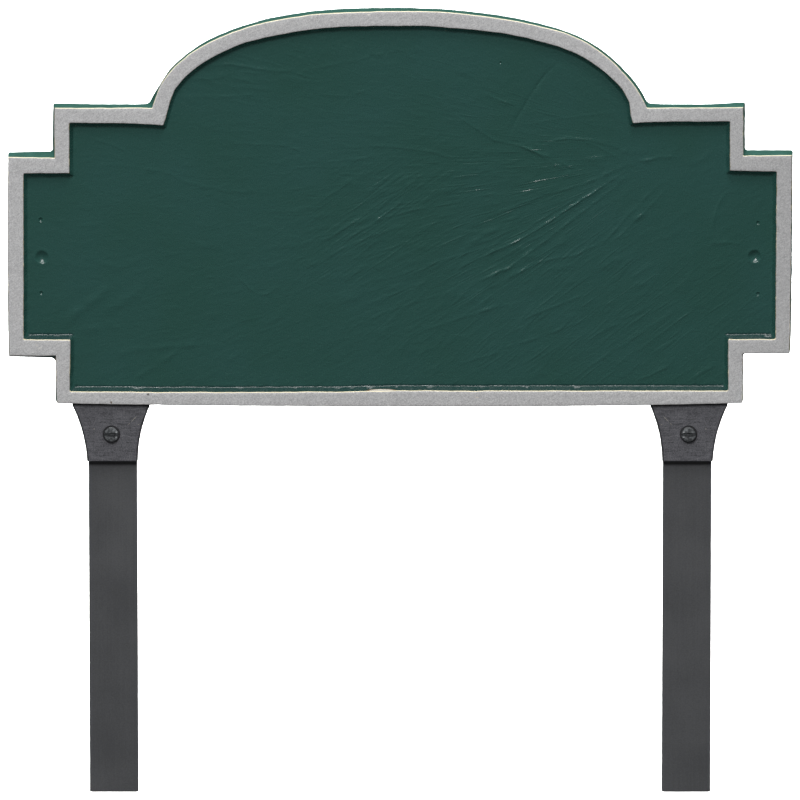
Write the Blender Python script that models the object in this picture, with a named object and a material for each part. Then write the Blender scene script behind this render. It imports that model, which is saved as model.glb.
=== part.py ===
"""Address plaque on two ground stakes.

One cast plaque with a raised rim stands on two flat bars. A flared bracket joins each bar to the
plaque's lower edge. X runs to the viewer's right, Y away from the viewer and Z up. The origin lies on
the ground, midway between the two stakes.
"""

import math

import bmesh
import bpy

# Plaque outline, from its lower edge upwards, measured on the rim's front
FOOT_WIDTH = 0.3564
FOOT_STEP_HEIGHT = 0.0258
BAND_WIDTH = 0.4064
BAND_HEIGHT = 0.1047
SHOULDER_WIDTH = 0.3580
SHOULDER_STEP_HEIGHT = 0.0262
ARCH_WIDTH = 0.2586
ARCH_RISE = 0.0510
CROWN_RADIUS = 0.3425
CROWN_SHARE = 0.62
ARCH_FOOT_FILLET = 0.0005
BOTTOM_BOW = 0.00175

# Plaque section, from its front backwards
PLAQUE_THICKNESS = 0.0085
OUTER_DRAFT = 0.0005
RIM_WIDTH = 0.0078
LOWER_RIM_WIDTH = 0.0064
RIM_EDGE = 0.0003
RECESS_DEPTH = 0.0034
WALL_DRAFT_DEG = 12.0
FIELD_FILLET = 0.0015

# Drill marks in the field, near each end of the band
MARK_INSET = 0.0178
MARK_DROP = 0.0014
MARK_DIAMETER = 0.0068
MARK_DEPTH = 0.0009
SMALL_MARK_PITCH = 0.0193
SMALL_MARK_DIAMETER = 0.0019
SMALL_MARK_DEPTH = 0.0005

# Stakes
STAKE_WIDTH = 0.0254
STAKE_THICKNESS = 0.00635
STAKE_EDGE_RADIUS = 0.0005
STAKE_INSET = 0.0290
STAKE_SHOWING = 0.1764

# Brackets
BRACKET_HEIGHT = 0.0310
BRACKET_SETBACK = 0.0020
BRACKET_WALL = 0.0030
BRACKET_LAP = 0.0005
OUTER_FLARE = 0.0076
INNER_FLARE = 0.0062
FLARE_HOLLOW = 0.0016
BRACKET_EDGE = 0.0005
SHELF_THICKNESS = 0.0050
CHEEK_FOOT_HEIGHT = 0.0170
TANG_WIDTH = 0.0240
TANG_HEIGHT = 0.0300
TANG_THICKNESS = 0.0032
TANG_CORNER_RADIUS = 0.0040
TANG_SETBACK = 0.0003

# Screws
STAKE_SCREW_HEIGHT = 0.0138
STAKE_SCREW_HEAD = 0.0081
STAKE_SCREW_HEAD_HEIGHT = 0.0022
STAKE_SCREW_SHANK = 0.0040
STAKE_SCREW_SHORT = 0.0008
BRACKET_SCREW_HEIGHT = 0.0100
BRACKET_SCREW_PITCH = 0.0130
BRACKET_SCREW_HEAD = 0.0068
BRACKET_SCREW_HEAD_HEIGHT = 0.0019
BRACKET_SCREW_SHANK = 0.0034
BRACKET_SCREW_SKIN = 0.0015
HEAD_SIDE_SHARE = 0.4
SLOT_WIDTH = 0.0011
SLOT_DEPTH = 0.0010

# Clearances
GAP = 0.0003
HOLE_CLEARANCE = 0.0003
HOLE_TIP_CLEARANCE = 0.0004
CUT_OVERRUN = 0.0010

# Facets
BOTTOM_STEPS = 6
FILLET_STEPS = 3
HAUNCH_STEPS = 14
CROWN_STEPS = 10
FIELD_FILLET_STEPS = 3
FLARE_STEPS = 10
CORNER_STEPS = 4
SCREW_SIDES = 24
HEAD_RINGS = 4
MARK_RINGS = 4

# Places worked out from the sizes above
STAKE_X = FOOT_WIDTH / 2 - STAKE_INSET
STAKE_FRONT_Y = -STAKE_THICKNESS / 2
STAKE_BACK_Y = STAKE_THICKNESS / 2
BRACKET_FRONT_Y = STAKE_FRONT_Y - GAP - BRACKET_WALL
PLAQUE_FRONT_Y = BRACKET_FRONT_Y - BRACKET_SETBACK
PLAQUE_BACK_Y = PLAQUE_FRONT_Y + PLAQUE_THICKNESS
TANG_FRONT_Y = PLAQUE_BACK_Y + GAP
TANG_BACK_Y = TANG_FRONT_Y + TANG_THICKNESS
BRACKET_BACK_Y = max(TANG_BACK_Y, STAKE_BACK_Y + GAP) + TANG_SETBACK
PLAQUE_Z = STAKE_SHOWING + BRACKET_HEIGHT
SHELF_TOP = BRACKET_HEIGHT - BOTTOM_BOW - OUTER_DRAFT - GAP
CHANNEL_TOP = SHELF_TOP - SHELF_THICKNESS
STAKE_LENGTH = STAKE_SHOWING + CHANNEL_TOP - GAP
SHOULDER_Z = FOOT_STEP_HEIGHT + BAND_HEIGHT + SHOULDER_STEP_HEIGHT


def linear(red, green, blue):
    """A screen colour, 0 to 255 a channel, as linear values."""
    shares = [value / 255 for value in (red, green, blue)]
    return tuple(s / 12.92 if s <= 0.04045 else ((s + 0.055) / 1.055) ** 2.4 for s in shares)


def finish(name, colour, roughness, metallic):
    material = bpy.data.materials.new(name)
    material.use_nodes = True
    shader = material.node_tree.nodes["Principled BSDF"]
    shader.inputs["Base Color"].default_value = (*linear(*colour), 1.0)
    shader.inputs["Roughness"].default_value = roughness
    shader.inputs["Metallic"].default_value = metallic
    material.diffuse_color = (*linear(*colour), 1.0)
    return material


def loft(name, rings, material):
    """A closed solid through rings of points, with a flat face on the first and the last ring."""
    mesh = bpy.data.meshes.new(name)
    solid = bmesh.new()
    loops = [[solid.verts.new(point) for point in ring] for ring in rings]
    for near, far in zip(loops, loops[1:]):
        for here in range(len(near)):
            after = (here + 1) % len(near)
            solid.faces.new((near[here], near[after], far[after], far[here]))
    solid.faces.new(loops[0])
    solid.faces.new(loops[-1])
    bmesh.ops.recalc_face_normals(solid, faces=solid.faces)
    solid.to_mesh(mesh)
    solid.free()
    mesh.shade_smooth()
    mesh.set_sharp_from_angle(angle=math.radians(30))
    mesh.materials.append(material)
    obj = bpy.data.objects.new(name, mesh)
    bpy.context.scene.collection.objects.link(obj)
    return obj


def prism(name, outline, front_y, back_y, material):
    """An outline of (x, z) points, drawn out from front_y to back_y."""
    rings = [[(x, y, z) for x, z in outline] for y in (front_y, back_y)]
    return loft(name, rings, material)


def turned(name, profile, material):
    """A solid turned about the Y axis from (radius, y) points."""
    angles = [2 * math.pi * (side + 0.5) / SCREW_SIDES for side in range(SCREW_SIDES)]
    rings = [[(r * math.cos(a), y, r * math.sin(a)) for a in angles] for r, y in profile]
    return loft(name, rings, material)


def rectangle(left, right, low, high):
    return [(left, low), (right, low), (right, high), (left, high)]


def arc(centre, radius, start, end, steps):
    """Points on a circle. Angles run from straight up towards +X."""
    angles = [start + (end - start) * step / steps for step in range(steps + 1)]
    return [(centre[0] + radius * math.sin(a), centre[1] + radius * math.cos(a)) for a in angles]


def place(obj, parent, x=0.0, y=0.0, z=0.0):
    obj.parent = parent
    obj.location = (x, y, z)
    return obj


def shape_with(obj, tool, operation):
    """Cuts the tool from the object, or joins it on. The tool moves with the object."""
    tool.parent = obj
    tool.hide_render = True
    tool.display_type = "WIRE"
    boolean = obj.modifiers.new(tool.name, "BOOLEAN")
    boolean.operation = operation
    boolean.solver = "EXACT"
    boolean.object = tool


def arch_circles():
    """Centre and radius of the arch's crown and of its right haunch, and the angle where they meet.

    The crown's circle spans its share of the width. The haunch's circle leaves it on the same tangent
    and ends at the shoulder.
    """
    crown_half = CROWN_SHARE * ARCH_WIDTH / 2
    meet = math.asin(crown_half / CROWN_RADIUS)
    top = SHOULDER_Z + ARCH_RISE
    crown_centre = (0.0, top - CROWN_RADIUS)
    meet_z = crown_centre[1] + CROWN_RADIUS * math.cos(meet)
    run = ARCH_WIDTH / 2 - crown_half
    drop = meet_z - SHOULDER_Z
    turn = math.atan2(drop, run) - meet
    haunch_radius = math.hypot(run, drop) / (2 * math.sin(turn))
    haunch_centre = (
        crown_half - haunch_radius * math.sin(meet),
        meet_z - haunch_radius * math.cos(meet),
    )
    return crown_centre, CROWN_RADIUS, haunch_centre, haunch_radius, meet


def right_half(inset, floor, bow):
    """The outline's right half, from the middle of the bottom to the top of the arch, moved inwards."""
    foot = FOOT_WIDTH / 2 - inset
    band = BAND_WIDTH / 2 - inset
    shoulder = SHOULDER_WIDTH / 2 - inset
    band_low = FOOT_STEP_HEIGHT + inset
    band_high = FOOT_STEP_HEIGHT + BAND_HEIGHT - inset
    shoulder_high = SHOULDER_Z - inset
    shares = [step / BOTTOM_STEPS for step in range(BOTTOM_STEPS + 1)]
    points = [(foot * share, floor - bow * (1 - share**2)) for share in shares]
    points += [(foot, band_low), (band, band_low), (band, band_high)]
    points += [(shoulder, band_high), (shoulder, shoulder_high)]
    crown_centre, crown_radius, haunch_centre, haunch_radius, meet = arch_circles()
    crown_radius -= inset
    haunch_radius -= inset
    reach = haunch_radius + ARCH_FOOT_FILLET
    foot_z = shoulder_high + ARCH_FOOT_FILLET - haunch_centre[1]
    spring = math.acos(foot_z / reach)
    fillet_centre = (haunch_centre[0] + reach * math.sin(spring), haunch_centre[1] + foot_z)
    points += arc(fillet_centre, ARCH_FOOT_FILLET, math.pi, math.pi + spring, FILLET_STEPS)
    points += arc(haunch_centre, haunch_radius, spring, meet, HAUNCH_STEPS)[1:]
    points += arc(crown_centre, crown_radius, meet, 0.0, CROWN_STEPS)[1:]
    return points


def plaque_ring(inset, depth, floor, bow):
    right = right_half(inset, floor, bow)
    left = [(-x, z) for x, z in reversed(right[1:-1])]
    return [(x, depth, z) for x, z in right + left]


def recess_profile():
    """(run, depth) points down the recess wall and round the fillet at its foot."""
    draft = math.radians(WALL_DRAFT_DEG)
    fillet_z = RECESS_DEPTH - FIELD_FILLET
    fillet_run = (FIELD_FILLET + fillet_z * math.sin(draft)) / math.cos(draft)
    points = []
    for step in range(FIELD_FILLET_STEPS + 1):
        angle = (math.pi / 2 - draft) * step / FIELD_FILLET_STEPS + draft
        run = fillet_run - FIELD_FILLET * math.cos(angle)
        points.append((run, fillet_z + FIELD_FILLET * math.sin(angle)))
    return points


def mark_cutter(name, diameter, depth):
    """A ball's cap that leaves a round hollow in the field."""
    ball = (diameter**2 / 4 + depth**2) / (2 * depth)
    half_angle = math.asin(diameter / 2 / ball)
    profile = [(diameter / 2 + CUT_OVERRUN, RECESS_DEPTH - CUT_OVERRUN)]
    for ring in range(MARK_RINGS, 0, -1):
        angle = half_angle * ring / MARK_RINGS
        profile.append((ball * math.sin(angle), RECESS_DEPTH + depth - ball * (1 - math.cos(angle))))
    return turned(name, profile, None)


def hole_cutter(name, shank, front_y, back_y):
    radius = shank / 2 + HOLE_CLEARANCE
    return turned(name, [(radius, front_y), (radius, back_y)], None)


def bracket_screw_heights():
    """Heights of a bracket's two rear screws over the plaque's lower corners."""
    return {"lower": BRACKET_SCREW_HEIGHT, "upper": BRACKET_SCREW_HEIGHT + BRACKET_SCREW_PITCH}


def make_plaque(root, field_paint, rim_paint):
    lower_floor = LOWER_RIM_WIDTH - RIM_WIDTH
    rings = [
        plaque_ring(-OUTER_DRAFT, PLAQUE_THICKNESS, -OUTER_DRAFT, BOTTOM_BOW),
        plaque_ring(0.0, RIM_EDGE, 0.0, BOTTOM_BOW),
        plaque_ring(RIM_EDGE, 0.0, RIM_EDGE, BOTTOM_BOW),
        plaque_ring(RIM_WIDTH - RIM_EDGE, 0.0, LOWER_RIM_WIDTH - RIM_EDGE, 0.0),
        plaque_ring(RIM_WIDTH, RIM_EDGE, LOWER_RIM_WIDTH, 0.0),
    ]
    for run, depth in recess_profile():
        inset = RIM_WIDTH + run
        rings.append(plaque_ring(inset, depth, inset + lower_floor, 0.0))
    plaque = loft("plaque", rings, field_paint)
    plaque.data.materials.append(rim_paint)
    for polygon in plaque.data.polygons:
        polygon.material_index = int(polygon.center.y < RIM_EDGE)
    place(plaque, root, y=PLAQUE_FRONT_Y, z=PLAQUE_Z)
    mark_x = BAND_WIDTH / 2 - MARK_INSET
    mark_z = FOOT_STEP_HEIGHT + BAND_HEIGHT / 2 - MARK_DROP
    for side, side_name in ((-1, "left"), (1, "right")):
        for row, row_name in ((-1, "below"), (0, "middle"), (1, "above")):
            diameter = SMALL_MARK_DIAMETER if row else MARK_DIAMETER
            depth = SMALL_MARK_DEPTH if row else MARK_DEPTH
            mark = mark_cutter(f"mark_{side_name}_{row_name}", diameter, depth)
            shape_with(plaque, mark, "DIFFERENCE")
            mark.location = (side * mark_x, 0.0, mark_z + row * SMALL_MARK_PITCH)
        for row_name, height in bracket_screw_heights().items():
            hole = hole_cutter(
                f"tapped_hole_{side_name}_{row_name}",
                BRACKET_SCREW_SHANK,
                PLAQUE_THICKNESS - blind_hole_depth(),
                PLAQUE_THICKNESS + CUT_OVERRUN,
            )
            shape_with(plaque, hole, "DIFFERENCE")
            hole.location = (side * STAKE_X, 0.0, height)


def blind_hole_depth():
    """The rear screws' holes leave a skin of metal behind the field."""
    return PLAQUE_THICKNESS - RECESS_DEPTH - BRACKET_SCREW_SKIN


def hollow_side(start, end, steps):
    """Points on a circle from start to end that bows to the left of the way from one to the other."""
    run_x, run_z = end[0] - start[0], end[1] - start[1]
    length = math.hypot(run_x, run_z)
    radius = (length**2 / 4 + FLARE_HOLLOW**2) / (2 * FLARE_HOLLOW)
    points = []
    for step in range(steps + 1):
        share = step / steps
        bow = math.sqrt(radius**2 - ((share - 0.5) * length) ** 2) - (radius - FLARE_HOLLOW)
        x = start[0] + run_x * share - run_z / length * bow
        z = start[1] + run_z * share + run_x / length * bow
        points.append((x, z))
    return points


def bracket_top(outwards):
    """Height of the bracket's top under the plaque's bowed lower edge, outwards from the stake."""
    share = (STAKE_X + outwards) / (FOOT_WIDTH / 2)
    return BRACKET_HEIGHT - BOTTOM_BOW * (1 - share**2) - OUTER_DRAFT - GAP


def bracket_outline(side):
    """The bracket's front: hollow flared sides under a top that follows the plaque's lower edge."""
    foot = STAKE_WIDTH / 2 + BRACKET_LAP
    outer = foot + OUTER_FLARE
    inner = -(foot + INNER_FLARE)
    points = hollow_side((foot, 0.0), (outer, bracket_top(outer)), FLARE_STEPS)
    shares = [step / BOTTOM_STEPS for step in range(1, BOTTOM_STEPS)]
    top = [outer + (inner - outer) * share for share in shares]
    points += [(outwards, bracket_top(outwards)) for outwards in top]
    points += hollow_side((inner, bracket_top(inner)), (-foot, 0.0), FLARE_STEPS)
    return [(side * x, z) for x, z in points]


def tang_outline():
    """A strap with two round upper corners, rooted in the shelf."""
    half = TANG_WIDTH / 2
    low = CHANNEL_TOP + SHELF_THICKNESS / 2
    high = BRACKET_HEIGHT + TANG_HEIGHT
    centre_x = half - TANG_CORNER_RADIUS
    centre_z = high - TANG_CORNER_RADIUS
    left = arc((-centre_x, centre_z), TANG_CORNER_RADIUS, -math.pi / 2, 0.0, CORNER_STEPS)
    right = arc((centre_x, centre_z), TANG_CORNER_RADIUS, 0.0, math.pi / 2, CORNER_STEPS)
    return [(-half, low), *left, *right, (half, low)]


def stake_channel_outline():
    """The room behind the bracket's wall: wide below the cheeks, and a close fit between them."""
    wide = STAKE_WIDTH / 2 + BRACKET_LAP + max(OUTER_FLARE, INNER_FLARE) + CUT_OVERRUN
    close = STAKE_WIDTH / 2 + GAP
    return [
        (-wide, -CUT_OVERRUN),
        (wide, -CUT_OVERRUN),
        (wide, CHEEK_FOOT_HEIGHT),
        (close, CHEEK_FOOT_HEIGHT),
        (close, CHANNEL_TOP),
        (-close, CHANNEL_TOP),
        (-close, CHEEK_FOOT_HEIGHT),
        (-wide, CHEEK_FOOT_HEIGHT),
    ]


def make_bracket(root, side, side_name, paint):
    depth = BRACKET_BACK_Y - BRACKET_FRONT_Y
    bracket = prism(f"bracket_{side_name}", bracket_outline(side), 0.0, depth, paint)
    place(bracket, root, side * STAKE_X, BRACKET_FRONT_Y, STAKE_SHOWING)
    edge = bracket.modifiers.new("soft_edges", "BEVEL")
    edge.width = BRACKET_EDGE
    edge.segments = 1
    edge.limit_method = "ANGLE"
    channel = prism(
        f"stake_channel_{side_name}",
        stake_channel_outline(),
        BRACKET_WALL,
        depth + CUT_OVERRUN,
        None,
    )
    shape_with(bracket, channel, "DIFFERENCE")
    tang_front = TANG_FRONT_Y - BRACKET_FRONT_Y
    tang_back = TANG_BACK_Y - BRACKET_FRONT_Y
    tang = prism(f"tang_{side_name}", tang_outline(), tang_front, tang_back, None)
    shape_with(bracket, tang, "UNION")
    screw_hole = hole_cutter(
        f"bracket_front_hole_{side_name}",
        STAKE_SCREW_SHANK,
        -CUT_OVERRUN,
        BRACKET_WALL + CUT_OVERRUN,
    )
    shape_with(bracket, screw_hole, "DIFFERENCE")
    screw_hole.location.z = STAKE_SCREW_HEIGHT
    for row_name, height in bracket_screw_heights().items():
        hole = hole_cutter(
            f"tang_hole_{side_name}_{row_name}",
            BRACKET_SCREW_SHANK,
            tang_front - CUT_OVERRUN,
            tang_back + CUT_OVERRUN,
        )
        shape_with(bracket, hole, "DIFFERENCE")
        hole.location.z = BRACKET_HEIGHT + height


def make_stake(root, side, side_name, paint):
    """A flat bar with slightly rounded long edges and square ends."""
    half_x = STAKE_WIDTH / 2 - STAKE_EDGE_RADIUS
    half_y = STAKE_THICKNESS / 2 - STAKE_EDGE_RADIUS
    section = []
    for quarter, (x, y) in enumerate(((1, 1), (1, -1), (-1, -1), (-1, 1))):
        start = quarter * math.pi / 2
        centre = (x * half_x, y * half_y)
        section += arc(centre, STAKE_EDGE_RADIUS, start, start + math.pi / 2, CORNER_STEPS)
    rings = [[(x, y, z) for x, y in section] for z in (0.0, STAKE_LENGTH)]
    stake = loft(f"stake_{side_name}", rings, paint)
    place(stake, root, side * STAKE_X)
    hole = hole_cutter(
        f"stake_hole_{side_name}",
        STAKE_SCREW_SHANK,
        STAKE_FRONT_Y - CUT_OVERRUN,
        STAKE_BACK_Y + CUT_OVERRUN,
    )
    shape_with(stake, hole, "DIFFERENCE")
    hole.location.z = STAKE_SHOWING + STAKE_SCREW_HEIGHT


def make_screw(name, head, head_height, shank, shank_length, paint):
    """A slotted pan head screw. Its head's seat is at Y zero, its shank runs along +Y."""
    side_height = head_height * HEAD_SIDE_SHARE
    profile = []
    for ring in range(1, HEAD_RINGS + 1):
        angle = math.pi / 2 * ring / HEAD_RINGS
        height = side_height + (head_height - side_height) * math.cos(angle)
        profile.append((head / 2 * math.sin(angle), -height))
    profile += [(head / 2, 0.0), (shank / 2, 0.0), (shank / 2, shank_length)]
    screw = turned(name, profile, paint)
    slot = prism(
        f"{name}_slot",
        rectangle(-head, head, -SLOT_WIDTH / 2, SLOT_WIDTH / 2),
        -head_height - CUT_OVERRUN,
        -head_height + SLOT_DEPTH,
        None,
    )
    shape_with(screw, slot, "DIFFERENCE")
    return screw


def make_screws(root, side, side_name, paint):
    seat_y = BRACKET_FRONT_Y - GAP
    stake_screw = make_screw(
        f"stake_screw_{side_name}",
        STAKE_SCREW_HEAD,
        STAKE_SCREW_HEAD_HEIGHT,
        STAKE_SCREW_SHANK,
        STAKE_BACK_Y - STAKE_SCREW_SHORT - seat_y,
        paint,
    )
    place(stake_screw, root, side * STAKE_X, seat_y, STAKE_SHOWING + STAKE_SCREW_HEIGHT)
    seat_y = TANG_BACK_Y + GAP
    tip_y = PLAQUE_BACK_Y - blind_hole_depth() + HOLE_TIP_CLEARANCE
    for row_name, height in bracket_screw_heights().items():
        screw = make_screw(
            f"bracket_screw_{side_name}_{row_name}",
            BRACKET_SCREW_HEAD,
            BRACKET_SCREW_HEAD_HEIGHT,
            BRACKET_SCREW_SHANK,
            seat_y - tip_y,
            paint,
        )
        place(screw, root, side * STAKE_X, seat_y, PLAQUE_Z + height)
        screw.rotation_euler.z = math.pi


def main():
    for old in list(bpy.data.objects):
        bpy.data.objects.remove(old)
    field_paint = finish("green enamel", (40, 71, 67), 0.35, 0.0)
    rim_paint = finish("silver paint", (170, 170, 170), 0.45, 0.5)
    bracket_paint = finish("black cast metal", (79, 79, 83), 0.6, 0.3)
    stake_paint = finish("dark grey bar", (71, 72, 74), 0.45, 0.2)
    screw_paint = finish("black screw", (48, 50, 52), 0.3, 0.6)
    root = bpy.data.objects.new("address_plaque", None)
    bpy.context.scene.collection.objects.link(root)
    make_plaque(root, field_paint, rim_paint)
    for side, side_name in ((-1, "left"), (1, "right")):
        make_bracket(root, side, side_name, bracket_paint)
        make_stake(root, side, side_name, stake_paint)
        make_screws(root, side, side_name, screw_paint)


main()
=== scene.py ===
"""Looks of the address plaque: fine meshes, paints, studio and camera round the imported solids.

X runs to the viewer's right, Y away from the viewer and Z up, in metres, as in the solids.
"""

import math

import bmesh
import bpy
import numpy as np
from mathutils import Matrix, Vector, noise
from mathutils.geometry import delaunay_2d_cdt


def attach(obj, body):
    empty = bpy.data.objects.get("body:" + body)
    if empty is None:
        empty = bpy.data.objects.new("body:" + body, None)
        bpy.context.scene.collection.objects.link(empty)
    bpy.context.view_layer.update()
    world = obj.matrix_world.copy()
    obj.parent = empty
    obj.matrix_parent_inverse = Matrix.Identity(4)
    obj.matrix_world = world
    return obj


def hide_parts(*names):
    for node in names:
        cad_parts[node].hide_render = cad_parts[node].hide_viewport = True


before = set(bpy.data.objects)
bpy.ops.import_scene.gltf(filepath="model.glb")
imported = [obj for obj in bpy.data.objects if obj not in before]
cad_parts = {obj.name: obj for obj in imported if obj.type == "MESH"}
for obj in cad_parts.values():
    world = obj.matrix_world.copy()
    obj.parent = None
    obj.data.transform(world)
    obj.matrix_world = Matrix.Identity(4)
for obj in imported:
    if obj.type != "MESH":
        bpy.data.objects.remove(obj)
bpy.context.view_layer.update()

MM = 0.001

# The solids' own sizes, repeated here
FOOT_WIDTH = 0.3564
FOOT_STEP_HEIGHT = 0.0258
BAND_WIDTH = 0.4064
BAND_HEIGHT = 0.1047
SHOULDER_WIDTH = 0.3580
SHOULDER_STEP_HEIGHT = 0.0262
ARCH_WIDTH = 0.2586
ARCH_RISE = 0.0510
CROWN_RADIUS = 0.3425
CROWN_SHARE = 0.62
BOTTOM_BOW = 0.00175
PLAQUE_THICKNESS = 0.0085
OUTER_DRAFT = 0.0005
RIM_WIDTH = 0.0078
LOWER_RIM_WIDTH = 0.0064
RECESS_DEPTH = 0.0034
PLAQUE_FRONT_Y = -0.008475
PLAQUE_Z = 0.2074
SHOULDER_Z = FOOT_STEP_HEIGHT + BAND_HEIGHT + SHOULDER_STEP_HEIGHT
STAKE_WIDTH = 0.0254
STAKE_THICKNESS = 0.00635
STAKE_X = 0.1492
STAKE_SHOWING = 0.1764
STAKE_LENGTH = 0.19955
BRACKET_FRONT_Y = -0.006475
BRACKET_BACK_Y = 0.003825
BRACKET_HEIGHT = 0.0310
BRACKET_WALL = 0.0030
FLARE_HOLLOW = 0.0016
CHEEK_FOOT_HEIGHT = 0.0170
CHANNEL_TOP = 0.02345
SHELF_THICKNESS = 0.0050
TANG_WIDTH = 0.0240
TANG_HEIGHT = 0.0300
TANG_CORNER_RADIUS = 0.0040
TANG_FRONT_Y = 0.000325
TANG_BACK_Y = 0.003525
STAKE_SCREW_HEIGHT = 0.0138
STAKE_SCREW_HEAD = 0.0081
BRACKET_SCREW_HEIGHTS = {"lower": 0.0100, "upper": 0.0230}
BRACKET_SCREW_HEAD = 0.0068
BRACKET_SCREW_HEAD_HEIGHT = 0.0019
GAP = 0.0003

# The inner wall leans more in the photo than in the solid
WALL_DRAFT_DEG = 35.0
FIELD_FILLET = 0.0010

# The front screws' heads stand lower in the photo than in the solid
STAKE_SCREW_HEAD_SHOWING = 0.0016

# How far the hand-finished casting strays from its drawing, in mm. Each corner has a shift in x and z
# for the back edge, the rim's outer edge and its inner edge, from the middle of the bottom upwards.
CORNER_SHIFTS = {
    -1: (
        (0.0, 0.0, 0.0, -0.1, 0.0, 0.15),
        (-0.6, -0.2, -0.15, -0.2, -1.15, -0.2),
        (-0.3, -2.65, -0.8, -0.8, -0.9, 0.0),
        (0.0, -2.3, 0.0, -0.8, -0.2, 0.0),
        (0.0, 0.5, -0.4, -0.35, -0.1, -1.35),
        (-1.0, 0.85, -0.4, -0.7, -0.45, -1.35),
        (-0.85, 0.15, -0.45, -0.45, -0.45, -0.85),
        (-1.16, -0.15, -1.16, 0.05, -1.16, -1.25),
        (-1.16, 0.0, -1.16, 0.0, -1.16, 0.0),
    ),
    1: (
        (0.0, 0.0, 0.0, -0.1, 0.0, 0.15),
        (-0.1, -0.1, -0.2, -0.1, 0.2, 0.2),
        (-0.1, 0.3, -0.1, 0.3, 0.2, 0.2),
        (-0.4, 0.35, -0.85, 0.35, -0.25, 0.25),
        (0.5, 1.5, 0.25, 0.65, 0.2, -0.45),
        (-0.15, 1.5, -0.7, 0.3, 0.1, 0.1),
        (-0.15, 0.55, -0.7, -0.15, 0.1, -0.05),
        (-1.16, -0.25, -1.16, -0.5, -1.16, -0.4),
        (-1.16, 0.0, -1.16, 0.0, -1.16, 0.0),
    ),
}
# How far the arch lies inside its drawing, in mm, at ARCH_SHARES of the way from its foot to the crown
ARCH_SHARES = (
    0.0, 0.03, 0.08, 0.14, 0.2, 0.26, 0.33, 0.4, 0.48, 0.56, 0.64, 0.72, 0.8, 0.88, 0.95, 1.0
)
ARCH_SHIFTS = {
    -1: (
        (0.5, 0.6, 0.5, -0.1, 0.2, 0.65, 0.6, 0.9, 0.45, -0.5, -0.65, -0.65, -0.25, 0.15, 0.5, 0.5),
        (1.9, 1.35, 0.15, -0.2, 0, 0.1, 0.55, 0.9, 0.25, -0.6, -0.5, -0.55, 0.05, 0.5, 0.5, 0.6),
        (2.3, 2.2, 1.0, -0.85, -0.95, -0.55, -0.1, 0.05, -0.75, -0.7, -0.95, -0.7, -0.4, 0.35, 0.6, 0.85),
    ),
    1: (
        (-0.4, -0.25, 0.05, 0.65, 0.75, 0.95, 1.1, 1.15, 0.9, 0.4, 0.4, 0.35, 0.45, 0.5, 0.5, 0.5),
        (-0.1, 0, 0.1, 0.6, 0.45, 0.6, 0.4, 0.45, 0.45, 0.15, 0.15, 0.2, 0.2, 0.2, 0.4, 0.6),
        (1.9, 1.5, -0.75, -1.0, -0.3, 0.05, 0.25, 0.65, 0.65, 0.1, 0.05, 0.3, 0.55, 0.45, 0.6, 0.85),
    ),
}
# How far the middle of a side from one corner to the next strays too: its axis, then the shift in mm
# of the back, outer and inner edges
SAGS = {
    -1: {(0, 1): (1, 0.0, 0.0, -0.6), (3, 4): (0, -0.35, -0.35, 0.0), (6, 7): (1, -0.35, -0.45, -0.1)},
    1: {(0, 1): (1, 0.0, -0.25, 0.0), (3, 4): (0, 0.15, 0.3, 0.0), (6, 7): (1, -0.55, -0.1, 0.0)},
}

# Shift of the front screws outwards and up from those of the solid, in mm
SCREW_SHIFT = (0.9, 0.4)

# Shift of each stake in x, in mm, at the ground and at its bracket
STAKE_LEAN = {-1: (0.25, -0.2), 1: (-0.15, 0.25)}

# The bracket's sides beyond the stake's in the photo, at its foot and top, outwards and inwards
OUTER_SIDE = (0.0009, 0.0089)
INNER_SIDE = (0.0002, 0.0066)

# The bracket's foot comes a little lower in the photo than in the solid
BRACKET_LOW = -0.0003

# Rounding of the casting's back, rim and inner edges, and how far its outline and fillet waver
BACK_EDGE, RIM_EDGE, INNER_EDGE = 0.0007, 0.00042, 0.0006
EDGE_WAVE, FILLET_WAVE = 0.0003, 0.0001

# Radii of the convex corners, the hollow corners and the arch's feet, from the back to the field
BACK_RADII = (0.0011, 0.0027, 0.0031)
RIM_RADII = (0.0003, 0.0006, 0.0006)
INNER_RADII = (0.0010, 0.0006, 0.0006)
WALL_RADII = (0.0012, 0.0008, 0.0008)
FIELD_RADII = (0.0024, 0.0024, 0.0024)
UPPER_CONCAVE = 0.5  # share of the hollow radius that the upper hollow corner has

# Steps along the outline's straight sides from the bottom's middle to the arch, and in its arcs, and
# the distance between the points of the field
SIDE_STEPS = (112, 16, 15, 66, 15, 16, 30)
ARC_STEPS = 4
HAUNCH_STEPS = 48
CROWN_STEPS = 52
FIELD_PITCH = 1.25 * MM

# The plaque's paint slots
SILVER, SIDES, EDGE, FIELD = range(4)

# The bars: radius of the long edges, chamfer at the ends, rings of points and a seed a side
BAR_EDGE, BAR_CHAMFER, BAR_RINGS = 0.00018, 0.0004, 70
BAR_SEEDS = {-1: 4.7, 1: 5.07}

# Steps along a bracket's side, and the voxels that its skin is made from
BRACKET_SIDE_STEPS, BRACKET_VOXEL = 24, 0.00040

# Half the width of the screws' slots, and their depth
SLOT_HALF, SLOT_DEPTH = 0.00075, 0.0004

# Marks in the field: x, z, radius and depth, all in mm as in the tables below
FIELD_MARKS = (
    (-186.2, 284.0, 3.5, 1.35),
    (184.3, 284.5, 3.4, 1.4),
    (-186.7, 303.8, 1.25, 0.7),
    (-186.5, 265.0, 1.1, 0.6),
    (186.0, 302.1, 1.15, 0.65),
    (186.0, 264.5, 1.1, 0.6),
    (52.2, 386.8, 0.75, 0.5),
)

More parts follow.
